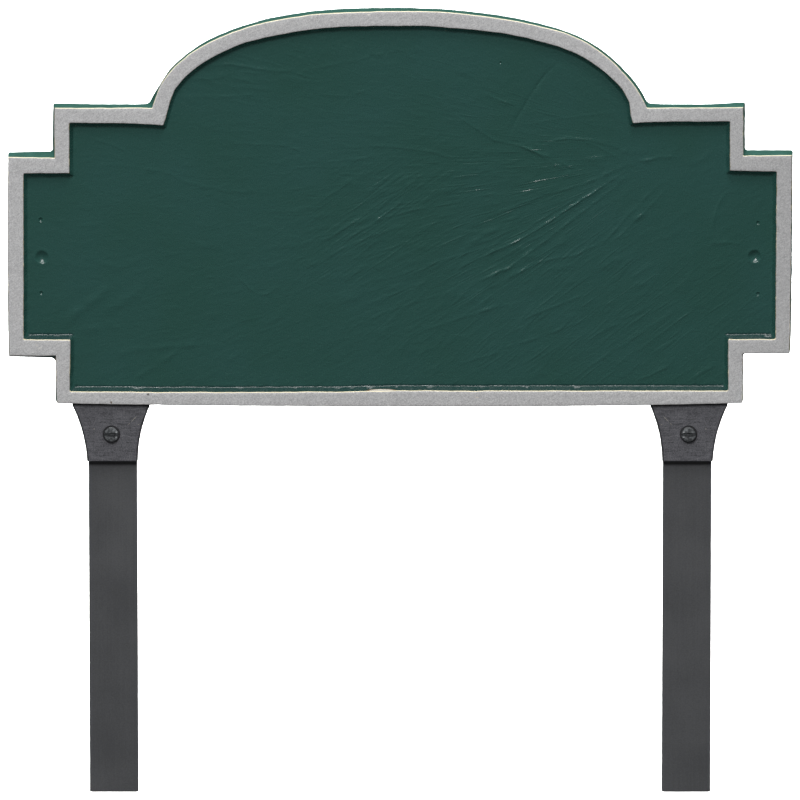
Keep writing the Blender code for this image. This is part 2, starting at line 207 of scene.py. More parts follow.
# Nicks in the rim's paint: x, z, half length, half width, lean and colour, as in the next tables
RIM_NICKS = (
    (-150.2, 207.8, 0.6, 0.9, 0.3, (92, 74, 52)),
    (-131.0, 212.0, 0.8, 0.7, 0.0, (70, 66, 60)),
    (-161.2, 213.7, 0.9, 0.6, 0.2, (206, 190, 160)),
    (-16.2, 412.8, 1.0, 0.5, 0.1, (236, 234, 226)),
    (-187.2, 236.5, 1.5, 0.35, 0.5, (222, 220, 214)),
    (-188.8, 238.0, 0.9, 0.3, -0.7, (226, 222, 212)),
    (190.0, 343.5, 2.4, 0.3, 0.25, (140, 138, 134)),
    (118.0, 366.0, 2.6, 0.3, 0.15, (150, 148, 142)),
    (40.0, 210.5, 1.4, 0.3, -0.2, (214, 206, 190)),
    (196.5, 300.0, 0.3, 2.0, 0.1, (148, 146, 142)),
)

# A run of dull silver over the field's lower edge
SILVER_RUN = (
    (-9.4, 213.9, 9.0, 1.0, 0.0, (120, 96, 70)),
    (-9.4, 213.9, 7.2, 0.8, 0.0, (196, 192, 182)),
)

# Scratches in the brackets' paint, placed from the foot of each bracket
BRACKET_SCRATCHES = (
    (-10.8, 22.2, 2.5, 0.16, -0.8, (165, 160, 150)),
    (-8.3, 19.6, 0.8, 0.14, -0.8, (165, 160, 150)),
    (9.9, 16.9, 0.35, 0.3, 0.0, (165, 160, 150)),
    (-13.2, 19.2, 0.5, 0.2, 0.3, (165, 160, 150)),
)

# Painted shade as dark lines along the slots of the front screws, and painted glints at the slots' ends
SCREW_SLOT_SHADE, SCREW_GLINTS = [], []
for side in (-1, 1):
    for z in (191.35, 189.85):
        SCREW_SLOT_SHADE.append((150.1 * side, z, 3.3, 0.32, 0.0, (30, 31, 33)))
    for z in (192.0, 189.3):
        SCREW_GLINTS.append((147.6 * side, z, 0.7, 0.32, 0.0, (225, 228, 230)))

# Wrinkles of the field: half width and height in mm, then the x and z of the points along each
FOLDS = (
    (0.5, 0.125, (30, 278, 44, 285, 60, 292, 75, 301, 88, 310, 103, 320, 121, 332)),
    (0.5, 0.05, (62, 297, 75, 305, 88, 313, 99, 321)),
    (0.7, 0.1, (26, 261, 42, 272, 56, 278, 68, 287, 82, 298, 96, 309, 109, 319, 122, 330)),
    (0.7, 0.07, (29, 261, 49, 269, 73, 282, 91, 285, 107, 293, 122, 310, 135, 323, 146, 330)),
    (0.7, 0.06, (31, 297, 47, 306, 62, 312, 75, 317, 94, 322, 112, 330, 125, 335)),
    (0.7, 0.06, (99, 285, 114, 295, 130, 311, 140, 322)),
    (0.8, 0.07, (122, 334, 135, 337, 147, 337)),
    (0.7, 0.07, (17, 361, 29, 359, 38, 353, 49, 346, 62, 343, 75, 338, 88, 332, 101, 327)),
    (0.6, 0.06, (60, 344, 70, 340, 79, 334, 88, 329)),
    (0.6, 0.035, (60, 353, 75, 356, 96, 359, 116, 361)),
    (0.7, 0.06, (71, 344, 86, 347, 99, 346, 110, 343, 123, 337)),
    (0.6, 0.05, (42, 372, 49, 368, 60, 364, 65, 361)),
    (0.6, 0.05, (94, 346, 104, 342, 116, 335)),
    (0.7, -0.09, (84, 389, 75, 380, 68, 370, 62, 360, 56, 348)),
    (0.7, 0.055, (-51, 285, -39, 293, -23, 303, -9, 312, 3, 321, 14, 330)),
    (0.6, 0.05, (-47, 282, -34, 290, -21, 298, -7, 307, 5, 317, 16, 327)),
    (0.7, 0.055, (-52, 277, -42, 282, -29, 289, -13, 296, 5, 302)),
    (0.6, 0.04, (-29, 293, -18, 299, -8, 305, 8, 309)),
    (0.5, 0.045, (-23, 310, -10, 318, 5, 327, 12, 330)),
    (0.8, 0.045, (-34, 262, -18, 270, -0, 275, 21, 282, 44, 289)),
    (0.8, 0.04, (-31, 253, -13, 261, 5, 268, 23, 273)),
    (0.8, 0.045, (-34, 240, -21, 249, -5, 256, 13, 262, 29, 266)),
    (0.8, 0.05, (-8, 236, 8, 244, 26, 250, 47, 257, 70, 262)),
    (0.7, 0.07, (60, 249, 75, 256, 88, 261, 97, 265)),
    (0.8, 0.045, (49, 235, 68, 240, 86, 247, 101, 253)),
    (0.8, 0.04, (29, 227, 49, 233, 60, 235)),
    (0.8, 0.055, (94, 223, 109, 233, 125, 244, 143, 256, 149, 261)),
    (0.7, 0.07, (122, 218, 135, 224, 143, 228)),
    (0.8, 0.08, (149, 218, 157, 223, 165, 227)),
    (0.8, 0.04, (99, 240, 114, 250, 133, 261)),
    (0.8, 0.035, (107, 223, 127, 237, 148, 253, 164, 265)),
    (0.7, 0.05, (8, 232, 17, 236, 23, 237)),
    (0.8, 0.09, (-116, 384, -101, 386, -88, 386, -75, 384, -62, 382, -53, 383)),
    (0.7, 0.06, (-112, 379, -99, 378, -88, 380)),
    (0.8, 0.04, (-55, 382, -39, 385, -23, 388, -8, 392, 5, 394)),
    (0.8, 0.04, (-114, 370, -96, 368, -78, 370, -65, 369)),
    (0.6, 0.05, (-30, 362, -26, 368, -21, 372, -13, 373)),
    (0.6, 0.035, (-95, 344, -78, 344, -60, 343, -44, 338, -23, 340)),
    (0.9, 0.035, (-169, 333, -151, 333, -138, 332, -122, 329, -109, 323, -91, 319, -70, 318, -52, 318)),
    (0.8, 0.05, (-161, 347, -148, 343, -139, 338)),
    (2.2, 0.16, (-177, 247, -166, 256, -156, 264, -146, 272)),
    (1.8, 0.08, (-169, 240, -159, 246, -148, 250)),
    (1.4, 0.06, (-153, 231, -138, 235, -117, 237, -91, 238)),
    (1.2, 0.07, (-139, 219, -130, 225, -120, 231, -114, 237)),
    (2.0, 0.06, (-161, 250, -148, 258, -133, 269, -122, 276)),
    (0.6, 0.05, (-87, 276, -81, 270, -75, 265, -70, 264, -62, 269)),
    (0.8, 0.07, (162, 298, 164, 309, 168, 317, 174, 322)),
    (0.9, 0.05, (160, 291, 172, 292, 183, 290)),
    (0.8, 0.05, (-29, 342, -8, 343, 16, 340, 34, 334)),
    (0.7, 0.04, (-31, 333, -18, 337, -3, 339)),
)


def linear(red, green, blue):
    """A screen colour, 0 to 255 a channel, as linear values."""
    shares = [value / 255 for value in (red, green, blue)]
    tones = [s / 12.92 if s <= 0.04045 else ((s + 0.055) / 1.055) ** 2.4 for s in shares]
    return (*tones, 1.0)


def smooth(low, high, value):
    share = np.clip((value - low) / (high - low), 0.0, 1.0)
    return share * share * (3 - 2 * share)


def wander(points, pitch, seed):
    """Smooth noise from about -1 to 1 at (x, z) points."""
    scale = 1 / pitch
    return np.array([noise.noise((x * scale, z * scale, seed)) for x, z in points])


def unit(vectors):
    return vectors / np.maximum(np.hypot(*vectors.T), 1e-9)[:, None]


def blend(first, second, share):
    return [a + (b - a) * share for a, b in zip(first, second)]


def nearest(points, start, end):
    """For each point, how far along a straight run its nearest place is, and the distance to it."""
    run = end - start
    share = np.clip((points - start) @ run / max(run @ run, 1e-18), 0, 1)
    return share, np.hypot(*(points - start - share[:, None] * run).T)


# Outline of the plaque


def arc(centre, radius, start, end, steps):
    """Points on a circle. Angles run from straight up towards +X."""
    angles = [start + (end - start) * step / steps for step in range(steps + 1)]
    return [(centre[0] + radius * math.sin(a), centre[1] + radius * math.cos(a)) for a in angles]


def arch_circles():
    crown_half = CROWN_SHARE * ARCH_WIDTH / 2
    meet = math.asin(crown_half / CROWN_RADIUS)
    top = SHOULDER_Z + ARCH_RISE
    crown_centre = (0.0, top - CROWN_RADIUS)
    meet_z = crown_centre[1] + CROWN_RADIUS * math.cos(meet)
    run = ARCH_WIDTH / 2 - crown_half
    drop = meet_z - SHOULDER_Z
    turn = math.atan2(drop, run) - meet
    haunch_radius = math.hypot(run, drop) / (2 * math.sin(turn))
    haunch_centre = (
        crown_half - haunch_radius * math.sin(meet),
        meet_z - haunch_radius * math.cos(meet),
    )
    return crown_centre, CROWN_RADIUS, haunch_centre, haunch_radius, meet


def half_outline(inset, floor, bow, radii):
    """The right half from the bottom's middle to the crown: its points, and for each the corners
    before and after it and the share of the way between them."""
    convex, concave, arch_foot = radii
    foot = FOOT_WIDTH / 2 - inset
    band = BAND_WIDTH / 2 - inset
    shoulder = SHOULDER_WIDTH / 2 - inset
    low = FOOT_STEP_HEIGHT + inset
    high = FOOT_STEP_HEIGHT + BAND_HEIGHT - inset
    top = SHOULDER_Z - inset
    corners = [
        (foot, floor), (foot, low), (band, low), (band, high), (shoulder, high), (shoulder, top)
    ]
    radii = [convex, concave, convex, convex, concave * UPPER_CONCAVE, convex]
    ways = [(1, 0), (0, 1), (1, 0), (0, 1), (-1, 0), (0, 1), (-1, 0)]
    points, places = [], []
    for step in range(SIDE_STEPS[0]):
        share = step / SIDE_STEPS[0]
        x = share * (foot - convex)
        points.append((x, floor - bow * (1 - (x / foot) ** 2)))
        places.append((0, 1, share))
    crown_centre, crown_radius, haunch_centre, haunch_radius, meet = arch_circles()
    crown_radius -= inset
    haunch_radius -= inset
    reach = haunch_radius + arch_foot
    foot_z = top + arch_foot - haunch_centre[1]
    spring = math.acos(foot_z / reach)
    fillet_centre = (haunch_centre[0] + reach * math.sin(spring), haunch_centre[1] + foot_z)
    for n, (corner, radius) in enumerate(zip(corners, radii)):
        came, goes = ways[n], ways[n + 1]
        for step in range(ARC_STEPS + 1):
            angle = math.pi / 2 * step / ARC_STEPS
            along = radius * (math.sin(angle) - 1)
            across = radius * (1 - math.cos(angle))
            x = corner[0] + came[0] * along + goes[0] * across
            z = corner[1] + came[1] * along + goes[1] * across
            points.append((x, z))
            places.append((n + 1, n + 1, 0.0))
        start = points[-1]
        if n < len(corners) - 1:
            following = corners[n + 1]
            end = tuple(following[k] - goes[k] * radii[n + 1] for k in (0, 1))
        else:
            end = (fillet_centre[0], top)
        steps = SIDE_STEPS[n + 1]
        for step in range(1, steps):
            share = step / steps
            points.append(tuple(start[k] + (end[k] - start[k]) * share for k in (0, 1)))
            places.append((n + 1, n + 2, share))
    foot_arc = arc(fillet_centre, arch_foot, math.pi, math.pi + spring, ARC_STEPS)
    points += foot_arc
    places += [(7, 7, 0.0)] * len(foot_arc)
    rise = arc(haunch_centre, haunch_radius, spring, meet, HAUNCH_STEPS)[1:]
    rise += arc(crown_centre, crown_radius, meet, 0.0, CROWN_STEPS)[1:]
    points += rise
    places += [(7, 8, (step + 1) / len(rise)) for step in range(len(rise))]
    return np.array(points), places


def shifted(points, places, side, level):
    """Moves one half's points as the casting strays. level is 0 at the back, 1 at the rim's outer edge
    and 2 at its inner edge, or between."""
    base = min(int(level), 1)
    mix = level - base
    table = np.array(CORNER_SHIFTS[side]).reshape(9, 3, 2)
    table = (table[:, base] * (1 - mix) + table[:, base + 1] * mix) * MM
    sags = SAGS[side]
    arch_table = np.array(ARCH_SHIFTS[side]) * MM
    arch_table = arch_table[base] * (1 - mix) + arch_table[base + 1] * mix
    along = unit(np.gradient(points, axis=0))
    inwards = side * np.stack([-along[:, 1], along[:, 0]], 1)
    spring = places.index(next(place for place in places if place[:2] == (7, 8)))
    moved = points.copy()
    for n, (a, b, share) in enumerate(places):
        moved[n] += table[a] * (1 - share) + table[b] * share
        if (a, b) == (7, 8):
            moved[n] += inwards[n] * np.interp(share, ARCH_SHARES, arch_table)
        elif (a, b) in sags:
            axis, *depths = sags[a, b]
            depth = (depths[base] * (1 - mix) + depths[base + 1] * mix) * MM
            moved[n, axis] += depth * 4 * share * (1 - share)
            if a == 6:
                moved[n] += inwards[spring] * arch_table[0] * share**6
        elif (a, b) == (7, 7):
            moved[n] += inwards[spring] * arch_table[0]
    return moved


def ring(inset, floor, bow, level, radii, wave):
    """A closed ring of (x, z) points in the plaque's own place."""
    points, places = half_outline(inset, floor, bow, radii)
    right = shifted(points, places, 1, level)
    left = shifted(points * (-1, 1), places, -1, level)
    loop = np.concatenate([right, left[-2:0:-1]])
    along = unit(np.roll(loop, -1, 0) - np.roll(loop, 1, 0))
    outwards = np.stack([along[:, 1], -along[:, 0]], 1)
    slow = wander(loop, 15 * MM, 3.1 * math.floor(level + 0.5))
    quick = wander(loop, 4.5 * MM, 7.7 + 2.3 * math.floor(level + 0.5))
    return loop + outwards * ((0.6 * slow + 0.5 * quick) * wave)[:, None]


def plaque_profile():
    """Rings from the back to the field as (inset, depth, level, radii, wave, paint). The paint is that
    of the faces between a ring and the next."""
    rows = []
    for step in range(3):
        angle = math.pi / 2 * step / 3
        inset = -OUTER_DRAFT + BACK_EDGE * (1 - math.sin(angle))
        depth = PLAQUE_THICKNESS - BACK_EDGE * (1 - math.cos(angle))
        rows.append((inset, depth, 0.0, BACK_RADII, EDGE_WAVE, SIDES))
    wall_steps = 5
    for step in range(wall_steps + 1):
        share = step / wall_steps
        depth = PLAQUE_THICKNESS - BACK_EDGE + (RIM_EDGE - PLAQUE_THICKNESS + BACK_EDGE) * share
        inset = -OUTER_DRAFT * depth / PLAQUE_THICKNESS
        radii = blend(BACK_RADII, RIM_RADII, share)
        rows.append((inset, depth, share, radii, EDGE_WAVE, SIDES if step < wall_steps else EDGE))
    for step in range(1, 4):
        angle = math.pi / 2 * step / 3
        inset = RIM_EDGE * (1 - math.cos(angle))
        depth = RIM_EDGE * (1 - math.sin(angle))
        rows.append((inset, depth, 1.0, RIM_RADII, EDGE_WAVE, EDGE if step < 2 else SILVER))
    face_steps = 5
    width = RIM_WIDTH - INNER_EDGE - RIM_EDGE
    for step in range(1, face_steps + 1):
        share = step / face_steps
        radii = blend(RIM_RADII, INNER_RADII, share)
        rows.append((RIM_EDGE + width * share, 0.0, 1.0 + share, radii, EDGE_WAVE, SILVER))
    for step in range(1, 4):
        angle = math.pi / 2 * step / 3
        inset = RIM_WIDTH - INNER_EDGE * (1 - math.sin(angle))
        depth = INNER_EDGE * (1 - math.cos(angle))
        rows.append((inset, depth, 2.0, INNER_RADII, EDGE_WAVE, EDGE if step < 3 else FIELD))
    draft = math.radians(WALL_DRAFT_DEG)
    fillet_z = RECESS_DEPTH - FIELD_FILLET
    fillet_run = (FIELD_FILLET + (fillet_z - INNER_EDGE) * math.sin(draft)) / math.cos(draft)
    steps = 8
    for step in range(steps + 1):
        share = step / steps
        angle = draft + (math.pi / 2 - draft) * share
        inset = RIM_WIDTH + fillet_run - FIELD_FILLET * math.cos(angle)
        depth = fillet_z + FIELD_FILLET * math.sin(angle)
        radii = blend(WALL_RADII, FIELD_RADII, share)
        rows.append((inset, depth, 2.0, radii, EDGE_WAVE + FILLET_WAVE * share, FIELD))
    return rows


# Relief of the field


FOCUS = np.array([150.0, 340.0]) * MM
FAN_LIMIT = math.radians(38)

# How much higher the long and the short folds stand than their tables say
LONG_GAIN, SHORT_GAIN = 2.9, 2.5


def flow(points):
    """Places along and across the folds, which fan out from a focus near the right end and run
    parallel below FAN_LIMIT."""
    rel = points - FOCUS
    way = np.array([math.cos(FAN_LIMIT), math.sin(FAN_LIMIT)])
    across = rel[:, 0] * way[1] - rel[:, 1] * way[0]
    radius = np.hypot(*rel.T)
    angle = np.arctan2(-rel[:, 1], -rel[:, 0])
    beyond = across > 0
    v = np.where(beyond, FAN_LIMIT + across / 0.13, angle)
    u = np.where(beyond, -(rel @ way), radius)
    return u, v


def along_fold(values, step):
    """Evenly spaced (x, z) points along a fold's smoothed and slightly wandering line."""
    knots = np.array(values, float).reshape(-1, 2) * MM
    spans = np.hypot(*np.diff(knots, axis=0).T)
    run = np.concatenate([[0.0], np.cumsum(spans)])
    count = max(4, int(run[-1] / step) + 1)
    fine = np.linspace(0, run[-1], count)
    line = np.stack([np.interp(fine, run, knots[:, k]) for k in (0, 1)], 1)
    width = max(1, int(3 * MM / step))
    kernel = np.hanning(2 * width + 3)[1:-1]
    kernel /= kernel.sum()
    padded = np.pad(line, ((width, width), (0, 0)), "reflect", reflect_type="odd")
    line = np.stack([np.convolve(padded[:, k], kernel, "valid") for k in (0, 1)], 1)
    side = unit(np.gradient(line, axis=0)[:, ::-1] * (-1, 1))
    return line + side * (wander(line, 6 * MM, 17.0) * 0.35 * MM)[:, None]


def small_folds():
    """Short wrinkles strewn over the field along its flow, as FOLDS lists the long ones."""
    draw = np.random.RandomState(5)
    folds = []
    for _ in range(640):
        x, z = draw.uniform(-190, 190), draw.uniform(214, 398)
        length, bend = draw.uniform(7, 26), draw.normal(0, 0.16)
        turn, size = draw.normal(0, 0.20), draw.uniform(0.4, 1.0)
        middle = math.exp(-(((x - 55) / 85) ** 2) - ((z - 290) / 55) ** 2)
        toward = FOCUS / MM - (x, z)
        angle = max(-0.45, min(math.atan2(toward[1], toward[0]), FAN_LIMIT))
        if x > FOCUS[0] / MM - 15:
            angle = FAN_LIMIT
        points = []
        for share in (-0.5, -0.2, 0.2, 0.5):
            way = angle + turn + bend * share * 4
            points += [x + length * share * math.cos(way), z + length * share * math.sin(way)]
        height = size * (0.034 + 0.055 * middle)
        folds.append((0.6 + 0.45 * size, height, tuple(points)))
    return folds


def ridges(points, folds):
    """Height of the wrinkles at (x, z) points."""
    height = np.zeros(len(points))
    for half_width, peak, values in folds:
        line = along_fold(values, 1.2 * MM)
        reach = 2.8 * half_width * MM
        near = np.all((points > line.min(0) - reach) & (points < line.max(0) + reach), 1)
        if not near.any():
            continue
        close = points[near]
        gap = np.full(len(close), 1.0)
        share = np.zeros(len(close))
        for n, (start, end) in enumerate(zip(line[:-1], line[1:])):
            part, away = nearest(close, start, end)
            nearer = away < gap
            gap = np.where(nearer, away, gap)
            share = np.where(nearer, (n + part) / (len(line) - 1), share)
        taper = np.clip(np.sin(np.pi * np.clip(share, 0, 1)) * 1.3, 0, 1)
        uneven = 0.8 + 1.1 * wander(close, 7 * MM, 23.0)
        height[near] += peak * MM * taper * uneven * np.exp(-((gap / (half_width * MM)) ** 2))
    return height


def crumple(points):
    """How strongly the field is wrinkled at (x, z) points, from 0 at the focus to about 1.4."""
    x, z = points.T
    centre = np.exp(-(((x - 0.062) / 0.085) ** 2) - ((z - 0.295) / 0.055) ** 2)
    corner = np.exp(-(((x - 0.125) / 0.070) ** 2) - ((z - 0.240) / 0.040) ** 2)
    left = np.exp(-(((x + 0.120) / 0.080) ** 2) - ((z - 0.255) / 0.045) ** 2)
    top = np.exp(-(((x + 0.085) / 0.045) ** 2) - ((z - 0.382) / 0.012) ** 2)
    worked = 0.34 + 0.9 * centre + 0.4 * corner + 0.2 * left + 0.9 * top
    return worked * smooth(0.01, 0.085, np.hypot(*(points - FOCUS).T))


def relief(points):
    """Height of the field's casting marks at (x, z) points, in metres towards the viewer."""
    u, v = flow(points)
    v = v + 0.05 * wander(points, 30 * MM, 11.0)
    folds = np.array([noise.noise((a / 0.040, b / 0.060, 21.0)) for a, b in zip(u, v)])
    height = 0.12 * folds * crumple(points) * MM
    broad = wander(points, 60 * MM, 31.0)
    lumps = wander(points, 12 * MM, 41.0)
    height += (0.12 * broad + 0.05 * lumps) * MM
    return height + LONG_GAIN * ridges(points, FOLDS) + SHORT_GAIN * ridges(points, small_folds())


def around_folds(points, loop):
    """Swaps the even points close to the long wrinkles for finer rows along them."""
    rows = []
    for half_width, _, values in FOLDS:
        line = along_fold(values, 0.9 * MM)
        side = unit(np.gradient(line, axis=0)[:, ::-1] * (-1, 1))
        for share in (-1.9, -1.2, -0.6, 0.0, 0.6, 1.2, 1.9):
            rows.append(line + side * share * half_width * MM)
    fine = np.concatenate(rows)
    cell = 0.42 * MM
    _, first = np.unique(np.round(fine / cell).astype(int), axis=0, return_index=True)
    fine = fine[np.sort(first)]
    fine = fine[inside(fine, loop)]
    fine = fine[clearance(fine, loop) > 0.5 * MM]
    coarse = 0.7 * MM
    taken = set()
    for a, b in np.round(fine / coarse).astype(int):
        taken.update((a + i, b + j) for i in (-1, 0, 1) for j in (-1, 0, 1))
    free = [tuple(key) not in taken for key in np.round(points / coarse).astype(int)]
    return np.concatenate([points[free], fine])


def hollow(points, marks):
    """Depth of the drill marks and pits at (x, z) points."""
    deep = np.zeros(len(points))
    for x, z, radius, depth in marks:
        r = np.hypot(points[:, 0] - x * MM, points[:, 1] - z * MM) / (radius * MM)
        bowl = np.maximum(1 - r**2, 0.0) ** 1.2
        lip = np.exp(-(((r - 1.15) / 0.22) ** 2)) * 0.07
        deep += (bowl - lip) * depth * MM
    return deep


def inside(points, loop):
    """True for the points in a closed loop."""
    odd = np.zeros(len(points), bool)
    x, z = points.T
    for (ax, az), (bx, bz) in zip(loop, np.roll(loop, -1, 0)):
        if az == bz:
            continue
        crosses = (az > z) != (bz > z)
        odd ^= crosses & (x < ax + (z - az) * (bx - ax) / (bz - az))
    return odd


def clearance(points, loop):
    """Distance from each point to the nearest of the loop's edges."""
    best = np.full(len(points), 1.0)
    for a, b in zip(loop, np.roll(loop, -1, 0)):
        best = np.minimum(best, nearest(points, a, b)[1])
    return best


def honeycomb(loop, pitch, margin):
    """Evenly spread points inside a loop."""
    low, high = loop.min(0), loop.max(0)
    rows = []
    for n, z in enumerate(np.arange(low[1], high[1], pitch * math.sqrt(3) / 2)):
        xs = np.arange(low[0] + (n % 2) * pitch / 2, high[0], pitch)
        rows.append(np.stack([xs, np.full(len(xs), z)], 1))
    points = np.concatenate(rows)
    points = points[inside(points, loop)]
    return points[clearance(points, loop) > margin]


def around_marks(points, marks):
    """Swaps the even points round each mark for finer rings."""
    extra = []
    for x, z, radius, _ in marks:
        centre = np.array([x, z]) * MM
        reach = radius * 1.5 * MM + 0.4 * MM
        points = points[np.hypot(*(points - centre).T) > reach + 0.35 * MM]
        pitch = max(0.16, radius * 0.11) * MM
        extra.append(centre[None])
        for n in range(1, int(reach / pitch) + 1):
            count = max(6, int(2 * math.pi * n))
            turn = 2 * math.pi * (np.arange(count) + 0.5 * (n % 2)) / count
            extra.append(centre + n * pitch * np.stack([np.cos(turn), np.sin(turn)], 1))
    return np.concatenate([points, *extra])


def filled(loop, inner):
    """Triangles over a closed loop and the points inside it, as indices into both together."""
    everything = [Vector(point) for point in np.concatenate([loop, inner])]
    count = len(loop)
    edges = [(n, (n + 1) % count) for n in range(count)]
    _, _, faces, origin, _, _ = delaunay_2d_cdt(everything, edges, [], 1, 1e-8, True)
    faces = [tuple(origin[corner][0] for corner in face) for face in faces]
    middles = np.array([sum((everything[c] for c in face), Vector((0, 0))) / 3 for face in faces])
    return [face for face, kept in zip(faces, inside(middles, loop)) if kept]


# Meshes


def add(name, data):
    obj = bpy.data.objects.new(name, data)
    bpy.context.scene.collection.objects.link(obj)
    return obj


def make_object(name, vertices, faces, paints, slot_of=None, sharp=40):
    mesh = bpy.data.meshes.new(name)
    mesh.from_pydata([tuple(v) for v in vertices], [], faces)
    for paint in paints:
        mesh.materials.append(paint)
    if slot_of is not None:
        mesh.polygons.foreach_set("material_index", slot_of)
    solid = bmesh.new()
    solid.from_mesh(mesh)
    bmesh.ops.recalc_face_normals(solid, faces=solid.faces)
    solid.to_mesh(mesh)
    solid.free()
    mesh.shade_smooth()
    mesh.set_sharp_from_angle(angle=math.radians(sharp))
    return add(name, mesh)


def settle(obj):
    """Turns an object's modifiers into its mesh and drops the cutters."""
    bpy.context.view_layer.update()
    graph = bpy.context.evaluated_depsgraph_get()
    mesh = bpy.data.meshes.new_from_object(obj.evaluated_get(graph))
    for modifier in list(obj.modifiers):
        tool = getattr(modifier, "object", None)
        obj.modifiers.remove(modifier)
        if tool is not None:
            bpy.data.objects.remove(tool)
    obj.data = mesh


def skin(mesh, paint):
    """Smooth shading and one paint all over."""
    mesh.shade_smooth()
    mesh.materials.clear()
    mesh.materials.append(paint)


def attribute(obj, name, values, kind="FLOAT"):
    data = obj.data.attributes.new(name, kind, "POINT").data
    key = "vector" if kind == "FLOAT_VECTOR" else "value"
    data.foreach_set(key, np.asarray(values, np.float32).ravel())


def carry(obj, node):
    """Ties a piece to the root and hides the solid that it stands for."""
    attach(obj, "root")
    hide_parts(node)


def tube(rings, around):
    """Quads between rings of points."""
    faces = []
    for n in range(rings - 1):
        for k in range(around):
            after = (k + 1) % around
            faces.append(tuple(n * around + c for c in (k, after, around + after, around + k)))
    return faces


def capped_tube(rings, around):
    """Quads between rings of points, and the two end faces."""
    ends = [tuple(range(around)), tuple(range((rings - 1) * around, rings * around))]
    return tube(rings, around) + ends


def make_plaque(paints):
    rows = plaque_profile()
    rings, depths = [], []
    for inset, depth, level, radii, wave, _ in rows:
        inner_share = min(max(level - 1.0, 0.0), 1.0)
        floor = inset + (LOWER_RIM_WIDTH - RIM_WIDTH) * inner_share
        bow = BOTTOM_BOW * (1 - inner_share)
        rings.append(ring(inset, floor, bow, level, radii, wave))
        depths.append(depth)
    count = len(rings[0])
    places = [loop + (0.0, PLAQUE_Z) for loop in rings]
    flat = np.concatenate(places)
    depth = np.repeat(depths, count)
    faces = tube(len(rows), count)
    paint_of = [row[-1] for row in rows[:-1] for _ in range(count)]
    rim_wave = 0.05 * wander(flat, 9 * MM, 61.0) + 0.03 * wander(flat, 3 * MM, 71.0)
    drips = 0.22 * wander(flat, 4.5 * MM, 63.0) * np.repeat([row[4] > EDGE_WAVE for row in rows], count)
    depth = depth + (rim_wave + drips) * MM * smooth(0.2 * MM, 0.5 * MM, PLAQUE_THICKNESS - depth)
    # How far each ring's surface faces up, from -1 to 1; the paints use it for painted highlights and
    # painted shade
    facing_up_for_painted_light = np.zeros(len(flat))
    for n, row in enumerate(rows):
        edge = unit(np.roll(places[n], -1, 0) - np.roll(places[n], 1, 0))
        facing_up = -edge[:, 0] if row[2] <= 1.0 else edge[:, 0]
        facing_up_for_painted_light[n * count : (n + 1) * count] = facing_up

    field = places[-1]
    inner = honeycomb(field, FIELD_PITCH, 0.55 * MM)
    inner = around_folds(inner, field)
    inner = around_marks(inner, FIELD_MARKS)
    start = len(flat)
    last = (len(rows) - 1) * count
    faces += [
        tuple(last + c if c < count else start + c - count for c in face)
        for face in filled(field, inner)
    ]
    paint_of += [FIELD] * (len(faces) - len(paint_of))
    fade = smooth(0.0, 4.0 * MM, clearance(inner, field))
    inner_depth = RECESS_DEPTH - relief(inner) * fade + hollow(inner, FIELD_MARKS) + pores(inner)

    back = places[0]
    rear = honeycomb(back, 7 * MM, 3 * MM)
    rear_start = start + len(inner)
    faces += [
        tuple(c if c < count else rear_start + c - count for c in face)
        for face in filled(back, rear)
    ]
    paint_of += [SIDES] * (len(faces) - len(paint_of))
    rear_depth = PLAQUE_THICKNESS - 0.25 * MM * np.abs(wander(rear, 30 * MM, 81.0))

    flat = np.concatenate([flat, inner, rear])
    depth = np.concatenate([depth, inner_depth, rear_depth])
    vertices = np.stack([flat[:, 0], PLAQUE_FRONT_Y + depth, flat[:, 1]], 1)
    plaque = make_object("plaque_casting", vertices, faces, paints, paint_of, 50)
    u, v = flow(flat)
    attribute(plaque, "flow", np.stack([u, v, np.zeros(len(u))], 1), "FLOAT_VECTOR")
    attribute(plaque, "facing_up_for_painted_light", np.concatenate([facing_up_for_painted_light, np.zeros(len(inner) + len(rear))]))
    attribute(plaque, "crumple", crumple(flat))
    carry(plaque, "plaque")


def pores(points):
    """Small sunken pores close under the arch."""
    x, z = points.T
    under = z - (PLAQUE_Z + SHOULDER_Z)
    band = smooth(0.016, 0.030, under) * np.exp(-(((x + 0.025) / 0.060) ** 2))
    grain = wander(points, 2.6 * MM, 91.0) * 0.6 + wander(points, 6.5 * MM, 95.0) * 0.6
    return band * smooth(0.12, 0.45, grain) * 0.16 * MM


def bar_rings(seed):
    """Points of a flat bar with softened edges, a little uneven along its faces, and their counts
    round it and along it."""
    half_x, half_y = STAKE_WIDTH / 2 - BAR_EDGE, STAKE_THICKNESS / 2 - BAR_EDGE
    section = []
    for quarter, (x, y) in enumerate(((1, 1), (1, -1), (-1, -1), (-1, 1))):
        start = quarter * math.pi / 2
        section += arc((x * half_x, y * half_y), BAR_EDGE, start, start + math.pi / 2, 5)
        if quarter % 2:
            for share in (0.2, 0.4, 0.6, 0.8):
                section.append((x * half_x * (1 - 2 * share), y * STAKE_THICKNESS / 2))
    middle = np.linspace(0.002, STAKE_LENGTH - 0.002, BAR_RINGS)
    heights = [0.0, BAR_CHAMFER, *middle, STAKE_LENGTH - BAR_CHAMFER, STAKE_LENGTH]
    vertices = []
    for z in heights:
        shrink = 1 - BAR_CHAMFER * 1.6 / STAKE_THICKNESS if z in (0.0, STAKE_LENGTH) else 1.0
        for x, y in section:
            lift = 0.05 * MM * noise.noise((x / 0.014, z / 0.045, seed))
            vertices.append((x * shrink, y * shrink + math.copysign(lift, y), z))
    return vertices, len(section), len(heights)


